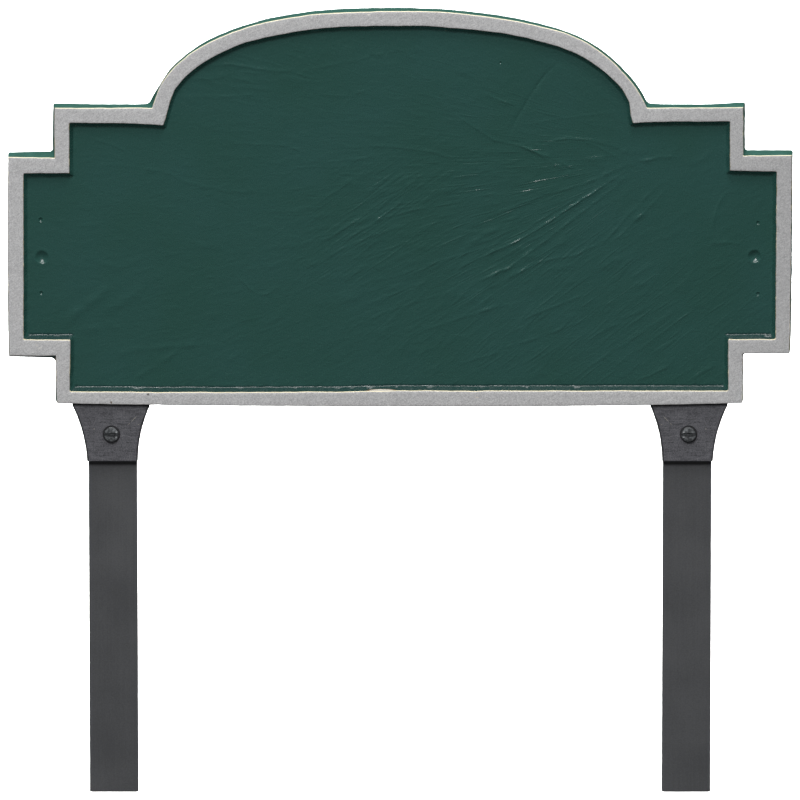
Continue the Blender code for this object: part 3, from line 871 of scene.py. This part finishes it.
def make_stake(side, side_name, paint):
    vertices, around, rings = bar_rings(BAR_SEEDS[side])
    faces = capped_tube(rings, around)
    foot, top = STAKE_LEAN[side]
    vertices = [
        (x + side * STAKE_X + (foot + (top - foot) * z / STAKE_SHOWING) * MM, y, z)
        for x, y, z in vertices
    ]
    stake = make_object(f"bar_{side_name}", vertices, faces, [paint], sharp=35)
    carry(stake, f"stake_{side_name}")


# Brackets and screws


def prism(name, outline, front, back):
    """A solid with an (x, z) outline, between two places in Y."""
    count = len(outline)
    vertices = [(x, y, z) for y in (front, back) for x, z in outline]
    return make_object(name, vertices, capped_tube(2, count), [])


def turned(name, profile, sides):
    """A solid turned about the Y axis from (radius, y) points."""
    turns = [2 * math.pi * (k + 0.5) / sides for k in range(sides)]
    vertices = [(r * math.cos(a), y, r * math.sin(a)) for r, y in profile for a in turns]
    return make_object(name, vertices, capped_tube(len(profile), sides), [])


def shape_with(obj, tool, operation):
    boolean = obj.modifiers.new(tool.name, "BOOLEAN")
    boolean.operation = operation
    boolean.solver = "EXACT"
    boolean.object = tool


def hollow_side(start, end):
    """Points along a side of a bracket, an arc that stands FLARE_HOLLOW off its straight line."""
    run_x, run_z = end[0] - start[0], end[1] - start[1]
    length = math.hypot(run_x, run_z)
    radius = (length**2 / 4 + FLARE_HOLLOW**2) / (2 * FLARE_HOLLOW)
    points = []
    for step in range(BRACKET_SIDE_STEPS + 1):
        share = step / BRACKET_SIDE_STEPS
        bow = math.sqrt(radius**2 - ((share - 0.5) * length) ** 2) - (radius - FLARE_HOLLOW)
        x = start[0] + run_x * share - run_z / length * bow
        z = start[1] + run_z * share + run_x / length * bow
        points.append((x, z))
    return points


def bracket_top(outwards):
    """Height of a bracket's top, which follows the plaque's bowed lower edge."""
    share = (STAKE_X + outwards) / (FOOT_WIDTH / 2)
    return BRACKET_HEIGHT - BOTTOM_BOW * (1 - share**2) - OUTER_DRAFT - GAP


def bracket_outline():
    foot, outer = (STAKE_WIDTH / 2 + beyond for beyond in OUTER_SIDE)
    inner_foot, inner = (-STAKE_WIDTH / 2 - beyond for beyond in INNER_SIDE)
    points = hollow_side((foot, BRACKET_LOW), (outer, bracket_top(outer)))
    for step in range(1, 8):
        x = outer + (inner - outer) * step / 8
        points.append((x, bracket_top(x)))
    return points + hollow_side((inner, bracket_top(inner)), (inner_foot, BRACKET_LOW))


def tang_outline():
    half = TANG_WIDTH / 2
    low = CHANNEL_TOP + SHELF_THICKNESS / 2
    high = BRACKET_HEIGHT + TANG_HEIGHT
    centre_x = half - TANG_CORNER_RADIUS
    centre_z = high - TANG_CORNER_RADIUS
    left = arc((-centre_x, centre_z), TANG_CORNER_RADIUS, -math.pi / 2, 0.0, 8)
    right = arc((centre_x, centre_z), TANG_CORNER_RADIUS, 0.0, math.pi / 2, 8)
    return [(-half, low), *left, *right, (half, low)]


def soften(obj, width, segments):
    edge = obj.modifiers.new("soft_edges", "BEVEL")
    edge.width = width
    edge.segments = segments
    edge.limit_method = "ANGLE"


def make_bracket(side, side_name, paint):
    depth = BRACKET_BACK_Y - BRACKET_FRONT_Y
    bracket = prism(f"bracket_casting_{side_name}", bracket_outline(), 0.0, depth)
    soften(bracket, 0.00025, 1)
    wide = STAKE_WIDTH / 2 + OUTER_SIDE[1] + 0.002
    close = STAKE_WIDTH / 2 + GAP
    cheek = CHEEK_FOOT_HEIGHT
    half = [(wide, -0.001), (wide, cheek), (close, cheek), (close, CHANNEL_TOP)]
    cut = [(-wide, -0.001), *half, *((-x, z) for x, z in half[:0:-1])]
    channel = prism("channel_cutter", cut, BRACKET_WALL, depth + 0.001)
    shape_with(bracket, channel, "DIFFERENCE")
    front, back = TANG_FRONT_Y - BRACKET_FRONT_Y, TANG_BACK_Y - BRACKET_FRONT_Y
    tang = prism("tang_strap", tang_outline(), front, back)
    soften(tang, 0.0005, 2)
    shape_with(bracket, tang, "UNION")
    melt = bracket.modifiers.new("cast_skin", "REMESH")
    melt.mode = "VOXEL"
    melt.voxel_size = BRACKET_VOXEL
    settle(bracket)
    mesh = bracket.data
    places = np.array([vertex.co for vertex in mesh.vertices], float)
    normals = np.array([vertex.normal for vertex in mesh.vertices], float)
    fine = np.array([noise.noise(place) for place in places / 0.0018])
    coarse = np.array([noise.noise(place) for place in places / 0.006 + (9, 0, 0)])
    lift = 0.05 * fine + 0.04 * coarse
    shy = np.where(places[:, 2] > BRACKET_HEIGHT - 0.0035, 0.5, 1.0)
    places += normals * (lift * shy * MM)[:, None]
    local = places.copy()
    places *= (side, 1, 1)
    places += (side * STAKE_X, BRACKET_FRONT_Y, STAKE_SHOWING)
    mesh.vertices.foreach_set("co", places.ravel())
    if side < 0:
        mesh.flip_normals()
    skin(mesh, paint)
    attribute(bracket, "local", local, "FLOAT_VECTOR")
    outline, count = np.array(bracket_outline()), BRACKET_SIDE_STEPS + 1
    outer_side, inner_side = outline[:count], outline[: -count - 1 : -1]
    x, z = local[:, 0], local[:, 2]
    outer_gap = np.interp(z, outer_side[:, 1], outer_side[:, 0]) - x
    inner_gap = x - np.interp(z, inner_side[:, 1], inner_side[:, 0])
    # Distances to the sides and to the front screw, in mm, which place painted shade along the side edges
    # and a painted shadow round the screw head
    from_screw = np.hypot(x - SCREW_SHIFT[0] * MM, z - STAKE_SCREW_HEIGHT - SCREW_SHIFT[1] * MM)
    edge_and_screw_shade_reach = np.stack([outer_gap, inner_gap, from_screw], 1) / MM
    attribute(bracket, "edge_and_screw_shade_reach", edge_and_screw_shade_reach, "FLOAT_VECTOR")
    carry(bracket, f"bracket_{side_name}")


def make_screw(name, node, head, height, place, backwards, paint):
    """A slotted pan head and the start of its shank."""
    side_height = height * 0.6
    profile = [(0.0003, -height)]
    for n in range(1, 13):
        angle = math.pi / 2 * n / 12
        rise = (height - side_height) * math.cos(angle)
        profile.append((head / 2 * math.sin(angle), -side_height - rise))
    profile += [(head / 2, -0.0002), (head / 2 - 0.0002, 0.0), (head / 4, 0.0), (head / 4, 0.0022)]
    screw = turned(name, profile, 64)
    slot = [(-head, -SLOT_HALF), (head, -SLOT_HALF), (head, SLOT_HALF), (-head, SLOT_HALF)]
    slot = prism(f"{name}_slot", slot, -height - 0.001, -height + SLOT_DEPTH)
    shape_with(screw, slot, "DIFFERENCE")
    settle(screw)
    mesh = screw.data
    solid = bmesh.new()
    solid.from_mesh(mesh)
    steep = math.radians(45)
    rims = [e for e in solid.edges if len(e.link_faces) == 2 and e.calc_face_angle(0) > steep]
    bmesh.ops.bevel(solid, geom=rims, offset=0.00012, segments=2, affect="EDGES", profile=0.5)
    across = [math.hypot(v.co.x, v.co.z) / head * 2 for v in solid.verts]
    if backwards:
        half_turn = Matrix.Rotation(math.pi, 3, "Z")
        bmesh.ops.rotate(solid, verts=solid.verts, cent=(0, 0, 0), matrix=half_turn)
    bmesh.ops.translate(solid, verts=solid.verts, vec=place)
    solid.to_mesh(mesh)
    solid.free()
    skin(mesh, paint)
    mesh.set_sharp_from_angle(angle=math.radians(35))
    attribute(screw, "across", across)
    carry(screw, node)


# Paints


class Paint:
    """A Principled material and short calls for its nodes."""

    def __init__(self, name, colour, roughness, metallic=0.0, **sockets):
        self.material = bpy.data.materials.new(name)
        self.material.use_nodes = True
        self.tree = self.material.node_tree
        self.shader = self.tree.nodes["Principled BSDF"]
        self.set("Base Color", linear(*colour))
        self.set("Roughness", roughness)
        self.set("Metallic", metallic)
        for socket, value in sockets.items():
            self.set(socket.replace("_", " "), value)
        self.material.diffuse_color = linear(*colour)

    def set(self, socket, value):
        if isinstance(value, bpy.types.NodeSocket):
            self.tree.links.new(value, self.shader.inputs[socket])
        else:
            self.shader.inputs[socket].default_value = value

    def node(self, kind, inputs, output=0, **settings):
        made = self.tree.nodes.new(kind)
        for key, value in settings.items():
            setattr(made, key, value)
        for key, value in inputs.items():
            if isinstance(value, bpy.types.NodeSocket):
                self.tree.links.new(value, made.inputs[key])
            else:
                made.inputs[key].default_value = value
        return made.outputs[output]

    def place(self):
        return self.node("ShaderNodeTexCoord", {}, "Object")

    def read(self, name, output="Vector"):
        return self.node("ShaderNodeAttribute", {}, output, attribute_name=name)

    def stretch(self, vector, scale):
        return self.node("ShaderNodeMapping", {0: vector, 3: scale}, vector_type="POINT")

    def noise(self, vector, scale, detail=2.0, roughness=0.5, distortion=0.0, **settings):
        inputs = {"Vector": vector, "Scale": scale, "Detail": detail, "Roughness": roughness}
        inputs["Distortion"] = distortion
        return self.node("ShaderNodeTexNoise", inputs, "Fac", **settings)

    def spot(self, vector, centre, size, angle=0.0, soft=0.5):
        """1 within an ellipse about a point, in metres, turned in the XZ plane, and 0 outside it."""
        inputs = {0: vector, 1: centre, 2: (0.0, -angle, 0.0), 3: size}
        local = self.node("ShaderNodeMapping", inputs, vector_type="TEXTURE")
        length = self.node("ShaderNodeVectorMath", {0: local}, "Value", operation="LENGTH")
        return self.ramp(length, 1.0, soft)

    def ramp(self, value, low, high, low_out=0.0, high_out=1.0):
        inputs = {0: value, 1: low, 2: high, 3: low_out, 4: high_out}
        return self.node("ShaderNodeMapRange", inputs, clamp=True)

    def sum(self, first, second, operation="ADD"):
        return self.node("ShaderNodeMath", {0: first, 1: second}, operation=operation)

    def times(self, first, second):
        return self.sum(first, second, "MULTIPLY")

    def axis(self, vector, name):
        return self.node("ShaderNodeSeparateXYZ", {0: vector}, name)

    def cells(self, vector, scale, radii, kinds):
        """Round dots in the cells of a pattern whose random kind is past the second pair of limits."""
        inputs = {"Vector": vector, "Scale": scale}
        gap, kind = (self.node("ShaderNodeTexVoronoi", inputs, name) for name in ("Distance", "Color"))
        return self.times(self.ramp(gap, *radii), self.ramp(kind, *kinds))

    def marked(self, colour, place, marks, y, depth, strength=1.0, soft=0.5):
        """The colour with spots over it, from a table of marks in mm."""
        for x, z, long, wide, lean, shade in marks:
            size = (long * MM, depth * MM, wide * MM)
            spot = self.spot(place, (x * MM, y, z * MM), size, lean, soft)
            colour = self.over(colour, self.times(spot, strength), shade)
        return colour

    def mix(self, share, first, second):
        inputs = {0: share, 6: first, 7: second}
        return self.node("ShaderNodeMix", inputs, 2, data_type="RGBA")

    def over(self, colour, share, shade):
        """The colour with a share of a screen colour over it."""
        return self.mix(share, colour, linear(*shade))

    def tones(self, share, first, second):
        return self.mix(share, linear(*first), linear(*second))

    def total(self, *parts):
        """Sum of values, each with its weight."""
        weighted = [self.times(value, weight) for value, weight in parts]
        result = weighted[0]
        for value in weighted[1:]:
            result = self.sum(result, value)
        return result

    def finish(self, colour, roughness, normal):
        self.set("Base Color", colour)
        if roughness is not None:
            self.set("Roughness", roughness)
        self.set("Normal", normal)
        return self.material

    def bump(self, height, distance, below=None):
        inputs = {"Height": height, "Distance": distance}
        if below is not None:
            inputs["Normal"] = below
        return self.node("ShaderNodeBump", inputs)


def green_field():
    paint = Paint("green enamel field", (39, 77, 71), 0.2)
    place = paint.place()
    worked = paint.read("crumple", "Fac")
    stretched = paint.stretch(paint.read("flow"), (60.0, 58.0, 0.0))
    creases = paint.noise(stretched, 1.0, 3.0, 0.55, 0.6, noise_type="RIDGED_MULTIFRACTAL")
    leaning = paint.node("ShaderNodeMapping", {0: place, 2: (0.0, math.radians(35), 0.0)})
    leaning = paint.stretch(leaning, (60.0, 60.0, 480.0))
    steep = paint.noise(leaning, 1.0, 2.0, 0.55, 0.5, noise_type="RIDGED_MULTIFRACTAL")
    patch = paint.spot(place, (-0.012, 0.0, 0.304), (0.075, 1.0, 0.042), 0.5, 0.0)
    steep = paint.times(steep, patch)
    waves = paint.noise(paint.stretch(place, (190.0, 190.0, 330.0)), 1.0, 3.0, 0.65, 1.0)
    fine = paint.noise(place, 900.0, 2.0)
    height = paint.total((paint.times(creases, worked), 0.5), (steep, 0.75), (waves, 0.34))
    # Small raised specks, with a pale painted highlight colour on them
    speck_with_painted_glint = paint.cells(place, 105.0, (0.075, 0.035), (0.80, 0.82))
    patch = paint.noise(place, 22.0, 3.0)
    colour = paint.tones(paint.ramp(patch, 0.35, 0.65), (39, 76, 69), (41, 78, 73))
    colour = paint.over(colour, paint.times(speck_with_painted_glint, 0.8), (125, 160, 150))
    # Painted shade darkening the inner walls where they face up
    upward_wall_shade = paint.ramp(paint.read("facing_up_for_painted_light", "Fac"), 0.4, 0.9, 0.0, 0.85)
    colour = paint.over(colour, upward_wall_shade, (22, 52, 50))
    colour = paint.marked(colour, place, SILVER_RUN, PLAQUE_FRONT_Y, 3.0, soft=0.85)
    normal = paint.bump(fine, 0.00002)
    normal = paint.bump(height, 0.00052, normal)
    normal = paint.bump(speck_with_painted_glint, 0.00004, normal)
    return paint.finish(colour, paint.ramp(fine, 0.3, 0.7, 0.23, 0.29), normal)


def green_sides():
    paint = Paint("green enamel sides", (42, 80, 72), 0.36)
    place = paint.place()
    coarse = paint.noise(place, 160.0, 3.0, 0.6)
    fine = paint.noise(place, 700.0, 2.0)
    colour = paint.tones(paint.ramp(coarse, 0.3, 0.7), (36, 72, 62), (45, 84, 76))
    normal = paint.bump(fine, 0.00003)
    normal = paint.bump(coarse, 0.00018, normal)
    return paint.finish(colour, paint.ramp(fine, 0.3, 0.7, 0.3, 0.45), normal)


def silver():
    paint = Paint("silver paint", (199, 199, 200), 0.5, 0.1)
    place = paint.place()
    grain = paint.noise(place, 2400.0, 1.0, 0.6)
    mottle = paint.noise(place, 1250.0, 1.0, 0.6)
    leaning = paint.node("ShaderNodeMapping", {0: place, 2: (0.0, 0.5, 0.0)})
    brushed = paint.noise(paint.stretch(leaning, (220.0, 220.0, 1500.0)), 1.0, 2.0, 0.5, 0.4)
    tone = paint.total((grain, 1.3), (mottle, 0.7), (brushed, 0.6))
    colour = paint.tones(paint.ramp(tone, 1.0, 1.6), (170, 170, 171), (211, 211, 211))
    # Painted shade darkening the rim towards its right end
    right_end_shade = paint.spot(place, (0.215, 0.0, 0.300), (0.110, 1.0, 0.110), 0.0, 0.3)
    colour = paint.over(colour, paint.times(right_end_shade, 0.22), (130, 130, 130))
    pits = paint.cells(place, 210.0, (0.13, 0.05), (0.62, 0.66))
    colour = paint.over(colour, paint.times(pits, 0.45), (90, 88, 84))
    colour = paint.marked(colour, place, RIM_NICKS, PLAQUE_FRONT_Y, 1.5, 0.85)
    normal = paint.bump(tone, 0.00007)
    normal = paint.bump(pits, -0.0001, normal)
    return paint.finish(colour, paint.ramp(grain, 0.3, 0.7, 0.42, 0.6), normal)


# Worn rim edge tones, with a painted cream highlight where the edge faces up and painted shade where it
# faces down
def rim_edge_wear_and_painted_light():
    paint = Paint("rim edge wear with painted highlight and shade", (205, 192, 160), 0.45, 0.1)
    place = paint.place()
    up = paint.read("facing_up_for_painted_light", "Fac")
    breaks = paint.noise(place, 230.0, 3.0, 0.6)
    wobble = paint.ramp(breaks, 0.3, 0.7, -0.6, 0.6)
    worn = paint.tones(paint.ramp(breaks, 0.48, 0.56), (168, 166, 160), (142, 128, 98))
    # Painted highlight on edges facing up, painted shade on edges facing down
    painted_highlight = paint.ramp(paint.sum(up, wobble), 0.1, 0.45)
    painted_shade = paint.ramp(paint.sum(up, paint.times(wobble, 0.3)), -0.35, -0.7)
    colour = paint.over(worn, painted_highlight, (234, 223, 190))
    colour = paint.over(colour, painted_shade, (66, 58, 46))
    return paint.finish(colour, None, paint.bump(breaks, 0.00008))


def black_casting():
    paint = Paint("black cast metal", (79, 79, 84), 0.5)
    place = paint.read("local")
    grain = paint.noise(place, 1500.0, 2.0, 0.65)
    coarse = paint.noise(place, 300.0, 2.0)
    rubbed = paint.noise(paint.stretch(place, (120.0, 120.0, 1700.0)), 1.0, 2.0, 0.5, 0.3)
    tone = paint.total((grain, 1.3), (coarse, 0.4), (rubbed, 0.7))
    colour = paint.tones(paint.ramp(tone, 0.85, 1.55), (48, 48, 52), (112, 112, 117))
    edge_and_screw_shade_reach = paint.read("edge_and_screw_shade_reach")
    outer, inner, ring = (paint.axis(edge_and_screw_shade_reach, name) for name in "XYZ")
    # Painted shade along the side edges and a painted shadow ring round the front screw
    ragged = paint.ramp(coarse, 0.3, 0.7, -0.25, 0.25)
    painted_shade = paint.ramp(paint.sum(outer, ragged), 1.15, 0.7)
    painted_shade = paint.sum(painted_shade, paint.ramp(paint.sum(inner, ragged), 1.3, 0.9), "MAXIMUM")
    painted_shade = paint.sum(painted_shade, paint.ramp(ring, 4.8, 4.4), "MAXIMUM")
    colour = paint.over(colour, paint.times(painted_shade, 0.85), (26, 26, 28))
    colour = paint.marked(colour, place, BRACKET_SCRATCHES, 0.0, 1.5, 0.8)
    normal = paint.bump(grain, 0.00010)
    normal = paint.bump(coarse, 0.00005, normal)
    return paint.finish(colour, paint.ramp(grain, 0.3, 0.7, 0.45, 0.62), normal)


def grey_bar():
    paint = Paint("dark grey bar", (74, 75, 77), 0.45, Specular_IOR_Level=0.3)
    place = paint.place()
    drawn = paint.noise(paint.stretch(place, (1000.0, 1000.0, 25.0)), 1.0, 2.0)
    cloud = paint.noise(place, 30.0, 2.0)
    fine = paint.noise(place, 1500.0, 2.0)
    tone = paint.total((drawn, 0.35), (cloud, 1.0), (fine, 1.0))
    colour = paint.tones(paint.ramp(tone, 0.9, 1.45), (73, 74, 76), (84, 85, 87))
    # Painted shadow on the bar's front face, from a little below the bracket's foot upwards
    height = paint.axis(place, "Z")
    bracket_shadow = paint.ramp(height, STAKE_SHOWING - 0.0027, STAKE_SHOWING - 0.0023, 0.0, 0.7)
    front = paint.ramp(paint.axis(place, "Y"), -0.0020, -0.0028)
    bracket_shadow = paint.times(bracket_shadow, front)
    colour = paint.over(colour, bracket_shadow, (22, 22, 24))
    normal = paint.bump(drawn, 0.000004)
    normal = paint.bump(fine, 0.000015, normal)
    return paint.finish(colour, paint.ramp(cloud, 0.3, 0.7, 0.4, 0.5), normal)


def black_screw():
    paint = Paint("black screw", (82, 84, 86), 0.34, 0.3)
    place = paint.place()
    worn = paint.noise(place, 900.0, 3.0)
    colour = paint.tones(paint.ramp(worn, 0.4, 0.7), (70, 72, 74), (126, 130, 132))
    # Painted shade along the slot's edges; painted glints at its ends follow below
    colour = paint.marked(colour, place, SCREW_SLOT_SHADE, BRACKET_FRONT_Y, 4.0, soft=0.6)
    across = paint.read("across", "Fac")
    # Painted shade round the edge of the screw head
    colour = paint.over(colour, paint.ramp(across, 0.85, 0.98), (30, 31, 33))
    colour = paint.marked(colour, place, SCREW_GLINTS, BRACKET_FRONT_Y, 4.0, soft=0.4)
    return paint.finish(colour, paint.ramp(worn, 0.3, 0.7, 0.28, 0.45), paint.bump(worn, 0.00004))


# Studio


# Soft boxes: name, azimuth (0 in front of the plaque, 90 at its right), elevation, distance, width,
# height, power, and whether glossy paint reflects it
LIGHTS = (
    ("key", -14, 42, 3.5, 0.8, 0.8, 72, True),
    ("second_key", 20, 62, 4.0, 1.2, 1.2, 46, True),
    ("bounce", 5, -38, 2.5, 2.0, 1.6, 6, False),
    ("top", -10, 80, 5.0, 3.2, 2.4, 80, False),
    ("front_fill", -10, 4, 3.0, 2.0, 1.6, 7.5, False),
    ("back_fill", 180, 60, 4.0, 2.4, 2.4, 200, False),
    ("left_fill", -98, 22, 3.0, 1.6, 1.6, 50, False),
    ("right_fill", 98, 22, 3.0, 1.6, 1.6, 50, False),
)
LIGHTS_AIM = (0.0, 0.0, 0.28)
FLOOR_REACH = 60.0

# The photograph's angle. The camera stands far off, and frames VIEW_WIDTH at the plaque's rim.
CAMERA_TILT_DEG = 11.0
CAMERA_DISTANCE = 19.0
CAMERA_AIM = (0.0, -0.0085, 0.20908)
VIEW_WIDTH = 0.416
SENSOR_WIDTH = 36.0


def area_light(name, azimuth, elevation, distance, width, height, power, reflected):
    turn, rise = math.radians(azimuth), math.radians(elevation)
    way = Vector((math.sin(turn) * math.cos(rise), -math.cos(turn) * math.cos(rise), math.sin(rise)))
    data = bpy.data.lights.new(name, "AREA")
    data.shape = "RECTANGLE"
    data.size = width
    data.size_y = height
    data.energy = power
    light = add(name, data)
    light.location = Vector(LIGHTS_AIM) + way * distance
    light.rotation_euler = way.to_track_quat("Z", "Y").to_euler()
    light.visible_camera = False
    light.visible_glossy = reflected


def make_studio():
    floor_mesh = bpy.data.meshes.new("studio_floor")
    signs = ((-1, -1), (1, -1), (1, 1), (-1, 1))
    corners = [(x * FLOOR_REACH, y * FLOOR_REACH, 0) for x, y in signs]
    floor_mesh.from_pydata(corners, [], [(0, 1, 2, 3)])
    floor = add("studio_floor", floor_mesh)
    paper = Paint("white paper", (250, 250, 250), 0.9, Specular_IOR_Level=0.0)
    floor_mesh.materials.append(paper.material)
    floor.visible_diffuse = False
    floor.visible_glossy = False
    floor.visible_shadow = False

    for row in LIGHTS:
        area_light(*row)

    paper_light = bpy.data.lights.new("paper_light", "SUN")
    paper_light.energy = 4.2
    paper_light.angle = math.radians(60)
    sun = add("paper_light", paper_light)
    lit = bpy.data.collections.new("lit_by_paper_light")
    lit.objects.link(floor)
    sun.light_linking.receiver_collection = lit

    world = bpy.data.worlds.new("studio")
    world.use_nodes = True
    bpy.context.scene.world = world
    tree = world.node_tree
    back = tree.nodes["Background"]
    back.inputs["Color"].default_value = (0.06, 0.06, 0.062, 1.0)
    back.inputs["Strength"].default_value = 1.0
    white = tree.nodes.new("ShaderNodeBackground")
    white.inputs["Color"].default_value = (1.0, 1.0, 1.0, 1.0)
    white.inputs["Strength"].default_value = 1.2
    path = tree.nodes.new("ShaderNodeLightPath")
    choice = tree.nodes.new("ShaderNodeMixShader")
    sources = (path.outputs["Is Camera Ray"], back.outputs[0], white.outputs[0])
    for n, source in enumerate(sources):
        tree.links.new(source, choice.inputs[n])
    tree.links.new(choice.outputs[0], tree.nodes["World Output"].inputs["Surface"])
    bpy.context.scene.view_settings.view_transform = "Standard"


def make_camera():
    tilt = math.radians(CAMERA_TILT_DEG)
    data = bpy.data.cameras.new("camera")
    data.sensor_width = SENSOR_WIDTH
    data.lens = SENSOR_WIDTH * CAMERA_DISTANCE / VIEW_WIDTH
    data.clip_start = 0.1
    data.clip_end = 100.0
    camera = add("camera", data)
    back = Vector((0.0, -math.cos(tilt), math.sin(tilt)))
    camera.location = Vector(CAMERA_AIM) + back * CAMERA_DISTANCE
    camera.rotation_euler = (math.pi / 2 - tilt, 0.0, 0.0)
    bpy.context.scene.camera = camera


make_camera()
make_studio()
make_plaque([silver(), green_sides(), rim_edge_wear_and_painted_light(), green_field()])
casting, bar, screw_paint = black_casting(), grey_bar(), black_screw()
screw_x = STAKE_X + SCREW_SHIFT[0] * MM
screw_z = STAKE_SHOWING + STAKE_SCREW_HEIGHT + SCREW_SHIFT[1] * MM
for side, end in ((-1, "left"), (1, "right")):
    make_bracket(side, end, casting)
    make_stake(side, end, bar)
    place = (side * screw_x, BRACKET_FRONT_Y - GAP, screw_z)
    names = f"slotted_screw_{end}", f"stake_screw_{end}"
    make_screw(*names, STAKE_SCREW_HEAD, STAKE_SCREW_HEAD_SHOWING, place, False, screw_paint)
    for row, height in BRACKET_SCREW_HEIGHTS.items():
        place = (side * STAKE_X, TANG_BACK_Y + GAP, PLAQUE_Z + height)
        names = f"rear_screw_{end}_{row}", f"bracket_screw_{end}_{row}"
        make_screw(*names, BRACKET_SCREW_HEAD, BRACKET_SCREW_HEAD_HEIGHT, place, True, screw_paint)
